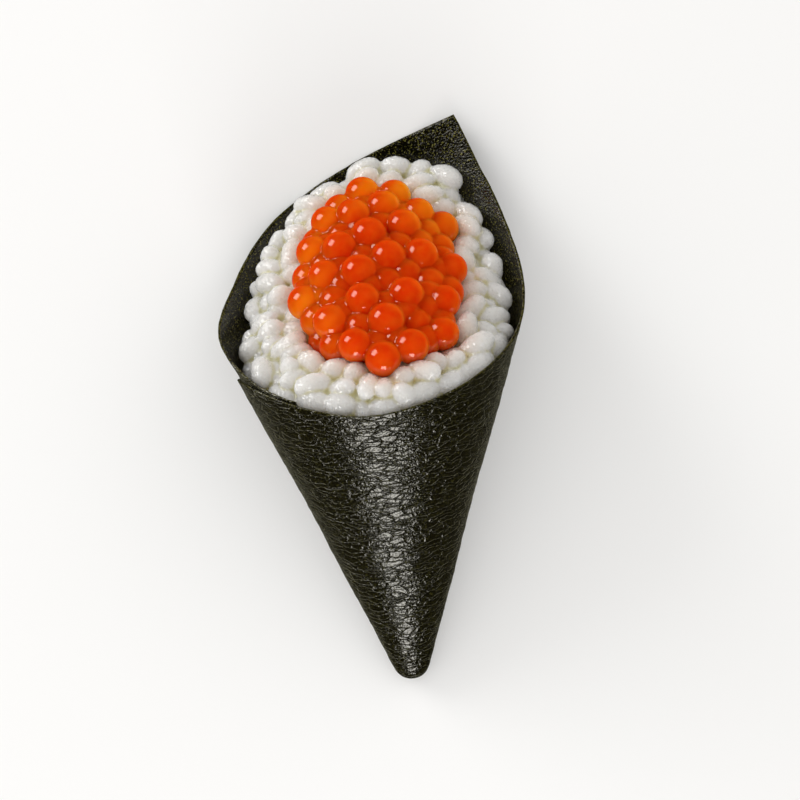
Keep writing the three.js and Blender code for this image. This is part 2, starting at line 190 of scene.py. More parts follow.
def mesh_object(name, points, faces):
    """An object at the origin from points in millimetres."""
    mesh = bpy.data.meshes.new(name)
    mesh.from_pydata([tuple(p) for p in np.asarray(points) * MM], [], faces)
    mesh.validate()
    piece = bpy.data.objects.new(name, mesh)
    bpy.context.scene.collection.objects.link(piece)
    return piece


def store(piece, name, values):
    """Keeps one number for each vertex, which a material can read by its name."""
    attribute = piece.data.attributes.new(name, "FLOAT", "POINT")
    attribute.data.foreach_set("value", np.asarray(values, np.float32))


def make_sheet():
    turns = np.concatenate([np.linspace(FIRST_TURN, CORNER_TURN, INNER_COLUMNS),
                            np.linspace(CORNER_TURN, LAST_TURN, OUTER_COLUMNS + 1)[1:]])
    domed = np.linspace(0, math.pi / 2 - SIDE_TAPER, DOME_ROWS + 1)[1:]
    dome = TIP_CENTRE - TIP_RADIUS * np.cos(domed)
    part = np.linspace(0, 1, BODY_ROWS + 1)[1:]
    edge = sheet_edge(turns)[:, None]
    along = np.concatenate([np.broadcast_to(dome, (len(turns), DOME_ROWS)),
                            TIP_SHOULDER + (edge - TIP_SHOULDER) * part], axis=1)
    lift = ply_lift(turns[:, None], along)
    outer, inner = (wall(turns[:, None], along, lift + thick) for thick in (SHEET, 0))
    columns, rows = along.shape
    points = np.concatenate([tip_point[None], outer.reshape(-1, 3), inner.reshape(-1, 3)])

    def at(face, i, j):
        return 1 + (face * columns + i) * rows + j

    faces = []
    for i in range(columns - 1):
        faces += [(0, at(0, i, 0), at(0, i + 1, 0)), (0, at(1, i + 1, 0), at(1, i, 0))]
        for j in range(rows - 1):
            faces.append((at(0, i, j), at(0, i, j + 1), at(0, i + 1, j + 1), at(0, i + 1, j)))
            faces.append((at(1, i, j), at(1, i + 1, j), at(1, i + 1, j + 1), at(1, i, j + 1)))
        last = rows - 1
        faces.append((at(0, i, last), at(1, i, last), at(1, i + 1, last), at(0, i + 1, last)))
    for j in range(rows - 1):
        end = columns - 1
        faces.append((at(0, 0, j), at(1, 0, j), at(1, 0, j + 1), at(0, 0, j + 1)))
        faces.append((at(0, end, j), at(0, end, j + 1), at(1, end, j + 1), at(1, end, j)))
    faces += [(0, at(1, 0, 0), at(0, 0, 0)), (0, at(0, end, 0), at(1, end, 0))]
    piece = mesh_object("seaweed_sheet", points, faces)
    from_edge = np.broadcast_to(edge - along, along.shape).reshape(-1)
    store(piece, "from_edge", np.concatenate([[along.max()], from_edge, from_edge]))
    inside = np.repeat([0.0, 1.0], columns * rows)
    store(piece, "inside", np.concatenate([[0.0], inside]))
    return piece


flat_sheet = make_sheet()
print("sheet:", len(flat_sheet.data.polygons), "faces")

# %% [markdown]
# ## A tree that makes wrinkles
#
# Dry seaweed takes up water from the rice, swells unevenly and buckles: long low folds run round the
# cone, and smaller dents lie across them. This is a shape, not a colour, so it goes into the mesh.
# Geometry Nodes can read a noise texture at each vertex and move the vertex along its normal by that
# much. The texture's space is turned so that one of its axes is the cone's axis, and stretched, which
# makes the folds long one way and short the other. One small function adds a node with its settings and
# links, for Geometry Nodes and for materials alike.

# %% A tree that makes wrinkles
# Roasted seaweed, pressed from pulp and moist again: near black and leathery, with glints on every scale.
roasted_seaweed = bpy.data.materials.new("Roasted_seaweed_pressed")


def add(tree, kind, inputs=None, **settings):
    """Adds a node. inputs maps a socket's name or number to a value, or to the output that feeds it."""
    node = tree.nodes.new(kind)
    for name, value in settings.items():
        setattr(node, name, value)
    for socket, value in (inputs or {}).items():
        if isinstance(value, bpy.types.NodeSocket):
            tree.links.new(value, node.inputs[socket])
        else:
            node.inputs[socket].default_value = value
    return node


def wrinkle_tree(material):
    tree = bpy.data.node_groups.new("wrinkles", "GeometryNodeTree")
    tree.interface.new_socket("Geometry", in_out="INPUT", socket_type="NodeSocketGeometry")
    for name in ("Round", "Along", "Depth", "Seed"):
        tree.interface.new_socket(name, in_out="INPUT", socket_type="NodeSocketFloat")
    tree.interface.new_socket("Geometry", in_out="OUTPUT", socket_type="NodeSocketGeometry")
    given = add(tree, "NodeGroupInput").outputs
    place = add(tree, "GeometryNodeInputPosition").outputs[0]
    turned = add(tree, "ShaderNodeVectorRotate", {"Vector": place, "Angle": -TOP_TAPER},
                 rotation_type="X_AXIS").outputs[0]
    size = add(tree, "ShaderNodeCombineXYZ", {0: given["Round"], 1: given["Along"], 2: given["Round"]})
    scaled = add(tree, "ShaderNodeVectorMath", {0: turned, 1: size.outputs[0]}, operation="DIVIDE")
    pattern = add(tree, "ShaderNodeTexNoise",
                  {"Vector": scaled.outputs[0], "W": given["Seed"], "Scale": 1.0, "Detail": 2.0},
                  noise_dimensions="4D")
    middle = add(tree, "ShaderNodeMath", {0: pattern.outputs[0], 1: 0.5}, operation="SUBTRACT")
    height = add(tree, "ShaderNodeMath", {0: middle.outputs[0], 1: given["Depth"]}, operation="MULTIPLY")
    normal = add(tree, "GeometryNodeInputNormal").outputs[0]
    offset = add(tree, "ShaderNodeVectorMath", {0: normal, "Scale": height.outputs[0]}, operation="SCALE")
    moved = add(tree, "GeometryNodeSetPosition",
                {"Geometry": given["Geometry"], "Offset": offset.outputs[0]})
    real = add(tree, "GeometryNodeRealizeInstances", {"Geometry": moved.outputs[0]})
    dressed = add(tree, "GeometryNodeSetMaterial", {"Geometry": real.outputs[0], "Material": material})
    add(tree, "NodeGroupOutput", {0: dressed.outputs[0]})
    return tree


wrinkles = wrinkle_tree(roasted_seaweed)
print("wrinkle tree:", len(wrinkles.nodes), "nodes")

# %% [markdown]
# ## Wrinkles in the sheet
#
# The sheet gets the tree twice: once for the folds and once for the dents. Its inputs have names, but a
# modifier knows them by their identifiers. The mesh that comes out is taken as a plain one. What the
# wrinkles push through the floor is pressed flat again. The finest wrinkles are left to the material.

# %% Wrinkles in the sheet
FOLDS = (9.0, 2.6, 0.16, 1.0)  # length round the cone, length along it, depth to each side, and seed
DENTS = (2.4, 1.0, 0.10, 5.0)


def use_tree(piece, tree, **values):
    """Adds the tree to the piece as a modifier, with its named inputs set."""
    modifier = piece.modifiers.new(tree.name, "NODES")
    modifier.node_group = tree
    for item in tree.interface.items_tree:
        if item.in_out == "INPUT" and item.name in values:
            modifier[item.identifier] = values[item.name]


def evaluated(piece, name):
    """The plain mesh that a piece's modifiers make, as a new object. The old one is removed."""
    graph = bpy.context.evaluated_depsgraph_get()
    mesh = bpy.data.meshes.new_from_object(piece.evaluated_get(graph))
    bpy.data.objects.remove(piece)
    made = bpy.data.objects.new(name, mesh)
    bpy.context.scene.collection.objects.link(made)
    return made


def smooth(piece):
    piece.data.polygons.foreach_set("use_smooth", [True] * len(piece.data.polygons))
    piece.data.update()


def points_of(piece):
    """The piece's vertices in millimetres, one row each."""
    places = np.zeros(3 * len(piece.data.vertices))
    piece.data.vertices.foreach_get("co", places)
    return places.reshape(-1, 3) / MM


def move_to(piece, places):
    """Gives the piece's vertices new places, in millimetres."""
    piece.data.vertices.foreach_set("co", (places * MM).ravel())
    piece.data.update()


for length_round, length_along, wrinkle_depth, wrinkle_seed in (FOLDS, DENTS):
    use_tree(flat_sheet, wrinkles, Round=length_round * MM, Along=length_along * MM,
             Depth=2 * wrinkle_depth * MM, Seed=wrinkle_seed)
seaweed_sheet = evaluated(flat_sheet, "seaweed_sheet")
sheet_places = points_of(seaweed_sheet)
sheet_places[:, 2] = np.maximum(sheet_places[:, 2], 0)
move_to(seaweed_sheet, sheet_places)
smooth(seaweed_sheet)
print("wrinkled sheet:", len(seaweed_sheet.data.polygons), "faces")

# %% [markdown]
# ## The mouth and the mound of rice
#
# The rice fills the cone and swells out of its mouth in a low mound. Places on the mouth are measured
# from its middle: across, up its slope towards the top edge of the roll, and straight out of it. The
# mound is a shallow dome that bends to meet the wall all round, and its rim is a curve through points as
# the free edge is. The heap of roe is an oval on it.

# %% The mouth and the mound of rice
RICE_EDGE = [(0, 60.8), (90, 65.6), (120, 70.6), (150, 84), (180, 93), (203, 94.6), (222, 85.8),
             (240, 75.2), (265, 67.5), (300, 65.5), (360, 60.8)]
RICE_CROWN, BEND_ACROSS, BEND_UPSLOPE = 4.5, 36, 260
BEND_POWER, BEND_LIMIT = 4, 1.1  # the bend comes late, and goes on a little past the rim
RIM_STEPS = 96
HEAP_CENTRE, HEAP_HALF_WIDTH, HEAP_HALF_LENGTH, HEAP_RISE = (1.3, -5.5), 13.5, 20.5, 2.8


def rice_rim(turn):
    """Where the mound of rice meets the wall."""
    return wall(turn, through(RICE_EDGE, turn), room_lift(turn))


ROUND = 360 * (np.arange(RIM_STEPS) + 1) / RIM_STEPS
RIM = rice_rim(ROUND)
MOUTH_CENTRE = RIM.mean(axis=0)
ACROSS = np.array([1.0, 0, 0])
UPSLOPE = (rice_rim(360) - rice_rim(180)) * [0, 1, 1]
UPSLOPE = UPSLOPE / np.linalg.norm(UPSLOPE)
OUT = np.cross(UPSLOPE, ACROSS)  # straight out of the mouth
RIM_ACROSS, RIM_UPSLOPE, RIM_LEVEL = ((RIM - MOUTH_CENTRE) @ way for way in (ACROSS, UPSLOPE, OUT))
BEARINGS = np.arctan2(RIM_UPSLOPE, RIM_ACROSS)
BY_BEARING = np.argsort(BEARINGS)


def at_bearing(across, upslope, values):
    """The value that belongs to the rim in the direction of a place from the mouth's middle."""
    bearing = np.arctan2(upslope, across)
    return np.interp(bearing, BEARINGS[BY_BEARING], values[BY_BEARING], period=2 * math.pi)


def rim_reach(across, upslope):
    """How far the rim is from the mouth's middle, in the direction of a place."""
    return at_bearing(across, upslope, np.hypot(RIM_ACROSS, RIM_UPSLOPE))


def dome_level(across, upslope):
    return RICE_CROWN - across**2 / (2 * BEND_ACROSS) - upslope**2 / (2 * BEND_UPSLOPE)


def mound_level(across, upslope):
    """How high the mound stands over the mouth, where it is bent to meet the wall."""
    reach = np.hypot(across, upslope) / rim_reach(across, upslope)
    meet = at_bearing(across, upslope, RIM_LEVEL - dome_level(RIM_ACROSS, RIM_UPSLOPE))
    return dome_level(across, upslope) + meet * np.minimum(reach, BEND_LIMIT) ** BEND_POWER


def heap_part(across, upslope, margin=0.0):
    """0 in the middle of the heap and 1 at its edge, or at a margin outside it."""
    return np.hypot((across - HEAP_CENTRE[0]) / (HEAP_HALF_WIDTH + margin),
                    (upslope - HEAP_CENTRE[1]) / (HEAP_HALF_LENGTH + margin))


def on_mouth(across, upslope, level):
    """A place on the mouth as a point in millimetres."""
    parts = (np.asarray(part, float)[..., None] for part in (across, upslope, level))
    return MOUTH_CENTRE + sum(part * way for part, way in zip(parts, (ACROSS, UPSLOPE, OUT)))


def from_mouth(places):
    """The other way round: where points lie across the mouth, up its slope and out of it."""
    side = places - MOUTH_CENTRE
    return (side @ way for way in (ACROSS, UPSLOPE, OUT))


print("mouth centre, mm:", MOUTH_CENTRE.round(2), "slope:", round(math.degrees(math.asin(UPSLOPE[2])), 1))

# %% [markdown]
# ## The core of the rice
#
# Nobody sees the rice deep in the cone, so one solid core stands for it: rings up the wall, and more
# rings over the mound to its middle. It lies a little lower than the mound, and lower still under the
# roe, because real grains and eggs lie on it.

# %% The core of the rice
RICE_START = 15.5  # along the axis: the rice doesn't reach into the tip
CORE_ROWS, CORE_RINGS = 24, 20
CORE_SINK, HEAP_SINK = 0.3, 4.2  # how far the core lies under the mound, and under the heap besides
HOLLOW_FROM = 0.7  # part of the way to the heap's edge where the hollow under it starts to end


def make_core():
    part = np.linspace(0, 1, CORE_ROWS + 1)[:, None]
    edge = through(RICE_EDGE, ROUND) - CORE_SINK
    sides = wall(ROUND, RICE_START + (edge - RICE_START) * part, room_lift(ROUND))
    out = np.linspace(1, 0, CORE_RINGS + 1)[1:-1, None]
    across, upslope = RIM_ACROSS * out, RIM_UPSLOPE * out
    under = HEAP_SINK * (1 - ramp(heap_part(across, upslope), HOLLOW_FROM, 1.0))
    mound = on_mouth(across, upslope, mound_level(across, upslope) - CORE_SINK - under)
    rings = np.concatenate([sides, mound])
    foot = wall([0, 180], RICE_START, 0).mean(axis=0)
    top = on_mouth(0, 0, mound_level(0.0, 0.0) - CORE_SINK - HEAP_SINK)
    points = np.concatenate([foot[None], rings.reshape(-1, 3), top[None]])
    count, last = len(rings), len(points) - 1

    def at(ring, i):
        return 1 + ring * RIM_STEPS + i % RIM_STEPS

    faces = [(0, at(0, i), at(0, i + 1)) for i in range(RIM_STEPS)]
    faces += [(at(ring, i), at(ring + 1, i), at(ring + 1, i + 1), at(ring, i + 1))
              for ring in range(count - 1) for i in range(RIM_STEPS)]
    faces += [(last, at(count - 1, i + 1), at(count - 1, i)) for i in range(RIM_STEPS)]
    return mesh_object("rice_core", points, faces)


rice_core = make_core()
smooth(rice_core)
print("core:", len(rice_core.data.polygons), "faces")

# %% [markdown]
# ## Where the eggs lie
#
# Salmon eggs are heavy drops in a tough skin, nearly all of one size. The heap is a low dome on the rice,
# and the eggs that show most lie in uneven rows. More eggs fill the gaps a little lower: each goes where
# the widest gap is left, until none is wide enough. A staggered layer under those closes the heap, so
# that no rice shows between the eggs.

# %% Where the eggs lie
EGG_RADIUS = 3.05
EGG_LEVEL, GAP_EGG_LEVEL, DEEP_EGG_LEVEL = 2.75, 0.9, -1.8  # the middles, above the heap's dome
GAP_STEP, GAP_EGG_CLEAR, DEEP_EGG_STEP = 0.5, 2.8, 5.0
EGG_ROWS = [  # across the mouth and up its slope
    [(0.5, -24.5), (6, -23.5)],
    [(-6.2, -18.4), (-1.6, -18.4), (3.8, -20), (9.8, -19), (13.7, -17)],
    [(-9.3, -12.2), (-4.5, -10.7), (0.8, -12.8), (7, -15)],
    [(-7.6, -5.4), (-1.6, -4.4), (3.7, -7.1), (9.3, -7.9), (14.3, -6.6)],
    [(-11.5, -2.1), (-1.5, 1.7), (6, 1.1), (12.3, 1.5)],
    [(-7.4, 4.4), (2.1, 6.5), (11.4, 7.8)],
    [(-3.6, 10.2), (0.8, 13.5), (5.8, 11.4)],
]


def heap_level(across, upslope):
    """How high the dome of the heap stands over the mouth."""
    rise = HEAP_RISE * np.sqrt(np.maximum(1 - heap_part(across, upslope) ** 2, 0))
    return dome_level(across, upslope) + rise


def egg_points(places, stand):
    across, upslope = np.array(places, float).T
    return on_mouth(across, upslope, heap_level(across, upslope) + stand)


def heap_grid(step):
    """Places on a staggered grid over the heap, up to an egg's half radius from its edge."""
    rows, columns = math.ceil(HEAP_HALF_LENGTH / step), math.ceil(HEAP_HALF_WIDTH / step)
    grid = [(HEAP_CENTRE[0] + step * (column + row % 2 / 2), HEAP_CENTRE[1] + step * row)
            for row in range(-rows, rows + 1) for column in range(-columns, columns + 1)]
    return [place for place in grid if heap_part(*place, -EGG_RADIUS / 2) < 1]


def clearance(places, others):
    """How far each place is from the nearest of the others."""
    return np.hypot(*(places[:, None] - np.array(others)[None]).transpose(2, 0, 1)).min(axis=1)


def gap_places(places):
    """Places for eggs in the gaps between the others, the widest gap first."""
    free, found = np.array(heap_grid(GAP_STEP)), []
    while True:
        gaps = clearance(free, places + found)
        if gaps.max() < GAP_EGG_CLEAR:
            return found
        found.append(tuple(free[gaps.argmax()]))


top_places = [place for row in EGG_ROWS for place in row]
top_eggs = egg_points(top_places, EGG_LEVEL)
gap_eggs = egg_points(gap_places(top_places), GAP_EGG_LEVEL)
deep_eggs = egg_points(heap_grid(DEEP_EGG_STEP), DEEP_EGG_LEVEL)
egg_centres = np.concatenate([top_eggs, gap_eggs, deep_eggs])
print(len(top_eggs), "top eggs,", len(gap_eggs), "in the gaps,", len(deep_eggs), "below")

# %% [markdown]
# ## Where the grains start
#
# Grains scattered by chance alone would leave gaps in one place and heaps in another. Here each new
# grain goes to the emptiest of several tries. Along the front of the wrap, where the spoon has wiped the
# rice flat, the grains lie along the rim. Everywhere else they point every way and some stick up. A
# second layer below shows in the gaps of the first. A grain is known by the middles of its two ends.

# %% Where the grains start
GRAIN_RADIUS = 1.95
GRAIN_STAND, UNEVEN = 0.7, 0.5  # a grain's middle, above the mound
LAYERS = [(100, GRAIN_STAND, 4.0), (105, GRAIN_STAND - 2.4, 2.0)]  # grains, level, reach under the heap
TRIES, START_REACH = 40, 0.96  # tries for each grain, and how much of the way to the rim is used
TILT = 16  # degrees, as a spread: most grains lie flatter than this
CORE_LENGTHS, RIM_LENGTHS = (1.4, 3.8), (2.4, 3.6)  # between the middles of a grain's two ends
RIM_ROW, RIM_TURNS, RIM_STAND = 9, (286, 434), 1.2  # grains that lie along the front rim
RIM_UNEVEN, RIM_LOOK, RIM_ROW_CLEAR = 3, 2, 2.0  # degrees, degrees to either side, and millimetres
PACKING_SEED = 11
random = np.random.default_rng(PACKING_SEED)


def spread_places(count, under):
    """Even places between the heap and the wall: each new one is the farthest of several tries."""
    found = []
    while len(found) < count:
        tries = random.uniform(-1, 1, (TRIES, 2)) * [RIM_ACROSS.max(), np.abs(RIM_UPSLOPE).max()]
        reach = np.hypot(*tries.T) / rim_reach(*tries.T)
        tries = tries[(reach < START_REACH) & (heap_part(*tries.T, -under) > 1)]
        if found:
            tries = tries[[clearance(tries, found).argmax()]]
        found.append(tries[0])
    return np.array(found)


def rim_row():
    """Grains that lie along the front rim: places, bearings and lengths."""
    turns = np.linspace(*RIM_TURNS, RIM_ROW) + random.uniform(-RIM_UNEVEN, RIM_UNEVEN, RIM_ROW)
    before, here, after = ((rice_rim(turns % 360 + step) - MOUTH_CENTRE) @ np.stack([ACROSS, UPSLOPE], 1)
                           for step in (-RIM_LOOK, 0, RIM_LOOK))
    places = here * (1 - RIM_ROW_CLEAR / np.hypot(*here.T))[:, None]
    along = after - before
    return places, np.arctan2(along[:, 1], along[:, 0]), random.uniform(*RIM_LENGTHS, RIM_ROW)


def start_grains():
    """The two ends of every grain, and the level that each is drawn to."""
    ends, levels, lengths = [], [], []
    for count, stand, under in [(RIM_ROW, RIM_STAND, 0)] + LAYERS:
        if under:
            places, length = spread_places(count, under), random.uniform(*CORE_LENGTHS, count)
            bearing, lean = random.uniform(0, 2 * math.pi, count), np.radians(random.normal(0, TILT, count))
            uneven = random.uniform(-UNEVEN, UNEVEN, count)
        else:
            places, bearing, length = rim_row()
            lean = uneven = np.zeros(count)
        half = np.stack([np.cos(bearing), np.sin(bearing)], -1) * (np.cos(lean) * length / 2)[:, None]
        for side in (-1, 1):
            across, upslope = (places + side * half).T
            level = stand + uneven + side * np.sin(lean) * length / 2
            ends.append(on_mouth(across, upslope, mound_level(across, upslope) + level))
            levels.append(level)
        lengths.append(length)
    first, last = (np.concatenate(ends[side::2]) for side in (0, 1))
    levels = np.stack([np.concatenate(levels[side::2]) for side in (0, 1)], 1)
    return np.stack([first, last], 1), levels, np.concatenate(lengths)


start_ends, start_levels, grain_lengths = start_grains()
print(len(start_ends), "grains set down")

# %% [markdown]
# ## Packing the grains
#
# Grains that were only set down would push through each other. Real grains are pressed together and
# slide until they fit, so they are packed the same way here. A grain is three balls in a row. In each
# round, balls that overlap move apart, balls that touch an egg or the wall move away, and every grain is
# drawn back to the mound. After enough rounds the grains lie closely, each in its own direction.

# %% Packing the grains
ROUNDS = 160
SQUEEZE, EGG_SQUEEZE = 0.86, 0.97  # grains that stick together lie closer than hard ones
LONGEST_PUSH, PUSH_SHARE = 0.8, 0.6  # a push is cut to this length, and only a share of it is made
DRAWN_BACK = 0.25  # share of the way back to the mound in one round
RIM_CLEAR = 0.9  # a ball's middle stays this far inside the rim of the mound


def inside_rim(across, upslope):
    """The share of its distance from the mouth's middle that a ball keeps, to stay inside the rim."""
    size = np.hypot(across, upslope)
    return np.minimum(1, (rim_reach(across, upslope) - RIM_CLEAR) / np.maximum(size, TINY))


def inside_wrap(points, radius):
    """Moves points inwards until a ball of the radius clears the wall and the floor."""
    forward = points[..., 1] + REST_FROM_POINT
    height = points[..., 2] + PRESS_DEPTH
    along = forward * math.cos(TOP_TAPER) + height * math.sin(TOP_TAPER)
    rise = height * math.cos(TOP_TAPER) - forward * math.sin(TOP_TAPER)
    thin = SHEET + WAIST_DEPTH + TOUCH_GAP + radius / math.cos(SIDE_TAPER)
    across, upward = (math.tan(taper) * along - thin for taper in (SIDE_TAPER, TOP_TAPER))
    part = np.maximum(np.hypot(points[..., 0] / across, rise / upward), 1)
    x, rise = points[..., 0] / part, rise / part
    y = along * math.cos(TOP_TAPER) - rise * math.sin(TOP_TAPER) - REST_FROM_POINT
    z = along * math.sin(TOP_TAPER) + rise * math.cos(TOP_TAPER) - PRESS_DEPTH
    return np.stack([x, y, np.maximum(z, SHEET + TOUCH_GAP + radius)], -1)


def push_off(balls, others, room, counted=True):
    """Which way and how far each ball lies too near the middles of the others that are counted."""
    away = balls[:, None] - others[None, :]
    distance = np.sqrt((away**2).sum(-1)) + TINY
    overlap = np.where(counted, np.maximum(room - distance, 0), 0)
    return (away * (overlap / distance)[..., None]).sum(axis=1)


def pack_grains(ends, levels, lengths):
    ends[:RIM_ROW] = inside_wrap(ends[:RIM_ROW], GRAIN_RADIUS)
    rim_ends = ends[:RIM_ROW].copy()
    owner = np.tile(np.arange(len(ends)), 3)
    apart = owner[:, None] != owner[None, :]
    for _ in range(ROUNDS):
        balls = np.concatenate([ends[:, 0], ends.mean(axis=1), ends[:, 1]])
        push = push_off(balls, balls, 2 * GRAIN_RADIUS * SQUEEZE, apart) / 2
        push += push_off(balls, egg_centres, (GRAIN_RADIUS + EGG_RADIUS) * EGG_SQUEEZE)
        size = np.linalg.norm(push, axis=1, keepdims=True)
        push *= np.minimum(1, LONGEST_PUSH / np.maximum(size, TINY)) * PUSH_SHARE
        first, middle, last = push.reshape(3, len(ends), 3)
        across, upslope, level = from_mouth(ends + np.stack([first + middle / 2, last + middle / 2], 1))
        kept = inside_rim(across, upslope)
        wanted = mound_level(across * kept, upslope * kept) + levels
        ends = on_mouth(across * kept, upslope * kept, level + DRAWN_BACK * (wanted - level))
        middle = ends.mean(axis=1)
        half = (ends[:, 1] - ends[:, 0]) / 2
        half *= (lengths / 2 / np.linalg.norm(half, axis=1))[:, None]
        ends = inside_wrap(np.stack([middle - half, middle + half], 1), GRAIN_RADIUS)
        ends[:RIM_ROW] = rim_ends
    return ends


grain_ends = pack_grains(start_ends, start_levels, grain_lengths)
print(len(grain_ends), "grains packed")

# %% [markdown]
# ## Grains of rice
#
# A cooked grain is a plump oval, a little bent, with one end fuller than the other, and its skin is
# dented. Seven different grains, each turned its own way, are enough that neighbours don't look alike.
# Each starts as a cube with its faces divided and pushed out to a ball, because that has no poles, and
# is then stretched, bent and dented.

# %% Grains of rice
GRAIN_LENGTH, GRAIN_WIDTH, GRAIN_THICKNESS = 6.6, 4.3, 4.0
GRAIN_KINDS = 7
BALL_STEPS = 4
SAME_CORNER = 6  # decimals to which two corners have to agree to be one
FULLER_END, BLUNTNESS, NARROWING = 0.08, 0.92, 0.25
GRAIN_BEND = 0.35  # millimetres that the middle may stand off the line between the ends
GRAIN_DENT, DENTS_PER_MM, NEXT_KIND = 0.22, 0.6, 9.0  # depth, how close, and a step to other dents


def cube_ball(steps):
    """Points and faces of a ball with radius 1, made from a divided cube."""
    points, faces, index = [], [], {}

    def at(place):
        key = tuple(np.round(place, SAME_CORNER))
        if key not in index:
            index[key] = len(points)
            points.append(np.array(place) / np.linalg.norm(place))
        return index[key]

    grid = np.tan(np.linspace(-math.pi / 4, math.pi / 4, steps + 1))
    for axis in range(3):
        for side in (-1, 1):
            for i in range(steps):
                for j in range(steps):
                    corners = [(i, j), (i + 1, j), (i + 1, j + 1), (i, j + 1)][::side]
                    faces.append([at(np.roll([side, grid[a], grid[b]], axis)) for a, b in corners])
    return np.array(points), faces


def hidden(piece):
    """Takes a pattern piece out of the scene: only its copies show."""
    bpy.context.scene.collection.objects.unlink(piece)
    return piece


def make_grain(kind):
    points, faces = cube_ball(BALL_STEPS)
    draw = np.random.default_rng(kind)
    x, y, z = points.T
    full = 1 + draw.uniform(-FULLER_END, FULLER_END) * y
    blunt = np.abs(y) ** BLUNTNESS * np.sign(y)
    swell = np.sqrt(np.maximum(1 - y**4 * NARROWING, 0))
    shape = np.stack([x * full * swell * GRAIN_WIDTH / 2, blunt * GRAIN_LENGTH / 2,
                      z * full * swell * GRAIN_THICKNESS / 2], -1)
    for axis in (2, 0):
        shape[:, axis] += draw.uniform(-GRAIN_BEND, GRAIN_BEND) * (1 - y**2)
    start = Vector((NEXT_KIND * kind, 0, 0))
    dents = [noise.noise(Vector(point * DENTS_PER_MM) + start) for point in shape]
    shape += points * (GRAIN_DENT * np.array(dents))[:, None]
    return hidden(mesh_object(f"grain_{kind}", shape, faces))


grain_kinds = [make_grain(kind) for kind in range(GRAIN_KINDS)]
print("a grain:", len(grain_kinds[0].data.polygons), "faces")

# %% [markdown]
# ## Setting out grains and eggs
#
# Both foods are one small shape repeated, which is what Geometry Nodes are for. The places are the
# vertices of a bare mesh, with the direction of each grain and its size kept on them. The tree turns a
# copy of one of the pattern pieces to that direction at each vertex, rolls it about its own length by a
# random angle with a fixed seed, and makes the copies real, so that they can be exported.

# %% Setting out grains and eggs
GRAIN_SEED, EGG_SEED = 3, 4
EGG_STEPS = 10
EGG_SIZES = (0.96, 1.04)
# Swollen starch with a moist skin: white and soft, because light wanders in it, with tiny sparkles.
cooked_rice = bpy.data.materials.new("Cooked_rice_moist")
# Orange oil and water in a clear tight skin: it glows from inside and mirrors the window in a crisp spot.
salmon_egg = bpy.data.materials.new("Salmon_egg_clear")


def setting_tree(name, kinds, material):
    collection = bpy.data.collections.new(name + "_kinds")
    for kind in kinds:
        collection.objects.link(kind)
    tree = bpy.data.node_groups.new(name, "GeometryNodeTree")
    tree.interface.new_socket("Geometry", in_out="INPUT", socket_type="NodeSocketGeometry")
    tree.interface.new_socket("Seed", in_out="INPUT", socket_type="NodeSocketInt")
    tree.interface.new_socket("Geometry", in_out="OUTPUT", socket_type="NodeSocketGeometry")
    given = add(tree, "NodeGroupInput").outputs
    way, size = (add(tree, "GeometryNodeInputNamedAttribute", {"Name": attribute},
                     data_type="FLOAT_VECTOR").outputs[0] for attribute in ("way", "size"))
    turned = add(tree, "FunctionNodeAlignRotationToVector", {"Vector": way}, axis="Y")
    angle = add(tree, "FunctionNodeRandomValue", {2: 0.0, 3: 2 * math.pi, "Seed": given["Seed"]})
    roll = add(tree, "FunctionNodeAxisAngleToRotation", {"Axis": (0, 1, 0), "Angle": angle.outputs[1]})
    rotation = add(tree, "FunctionNodeRotateRotation",
                   {"Rotation": turned.outputs[0], "Rotate By": roll.outputs[0]}, rotation_space="LOCAL")
    patterns = add(tree, "GeometryNodeCollectionInfo", {"Collection": collection, "Separate Children": True})
    pick = add(tree, "FunctionNodeRandomValue", {4: 0, 5: len(kinds) - 1, "Seed": given["Seed"]},
               data_type="INT")
    copies = add(tree, "GeometryNodeInstanceOnPoints",
                 {"Points": given["Geometry"], "Instance": patterns.outputs[0], "Pick Instance": True,
                  "Instance Index": pick.outputs[2], "Rotation": rotation.outputs[0], "Scale": size})
    real = add(tree, "GeometryNodeRealizeInstances", {"Geometry": copies.outputs[0]})
    dressed = add(tree, "GeometryNodeSetMaterial", {"Geometry": real.outputs[0], "Material": material})
    add(tree, "NodeGroupOutput", {0: dressed.outputs[0]})
    return tree


def set_out(name, kinds, material, places, ways, sizes, seed):
    """Copies of the pattern pieces at places in millimetres, as one plain mesh."""
    bare = mesh_object(name + "_places", places, [])
    for attribute, values in (("way", ways), ("size", sizes)):
        kept = bare.data.attributes.new(attribute, "FLOAT_VECTOR", "POINT")
        kept.data.foreach_set("vector", np.asarray(values, np.float32).ravel())
    use_tree(bare, setting_tree(name, kinds, material), Seed=seed)
    piece = evaluated(bare, name)
    smooth(piece)
    return piece


grain_ways = grain_ends[:, 1] - grain_ends[:, 0]
grain_sizes = np.ones((len(grain_ends), 3))
grain_sizes[:, 1] = (grain_lengths + 2 * GRAIN_RADIUS) / GRAIN_LENGTH
loose_grains = set_out("loose_grains", grain_kinds, cooked_rice, grain_ends.mean(axis=1), grain_ways,
                       grain_sizes, GRAIN_SEED)
egg_ball, egg_faces = cube_ball(EGG_STEPS)
egg = hidden(mesh_object("egg", egg_ball * EGG_RADIUS, egg_faces))
egg_sizes = random.uniform(*EGG_SIZES, len(egg_centres))
loose_eggs = set_out("loose_eggs", [egg], salmon_egg, egg_centres, random.normal(0, 1, egg_centres.shape),
                     np.repeat(egg_sizes[:, None], 3, axis=1), EGG_SEED)
print("set out:", len(grain_ends), "grains and", len(egg_centres), "eggs")

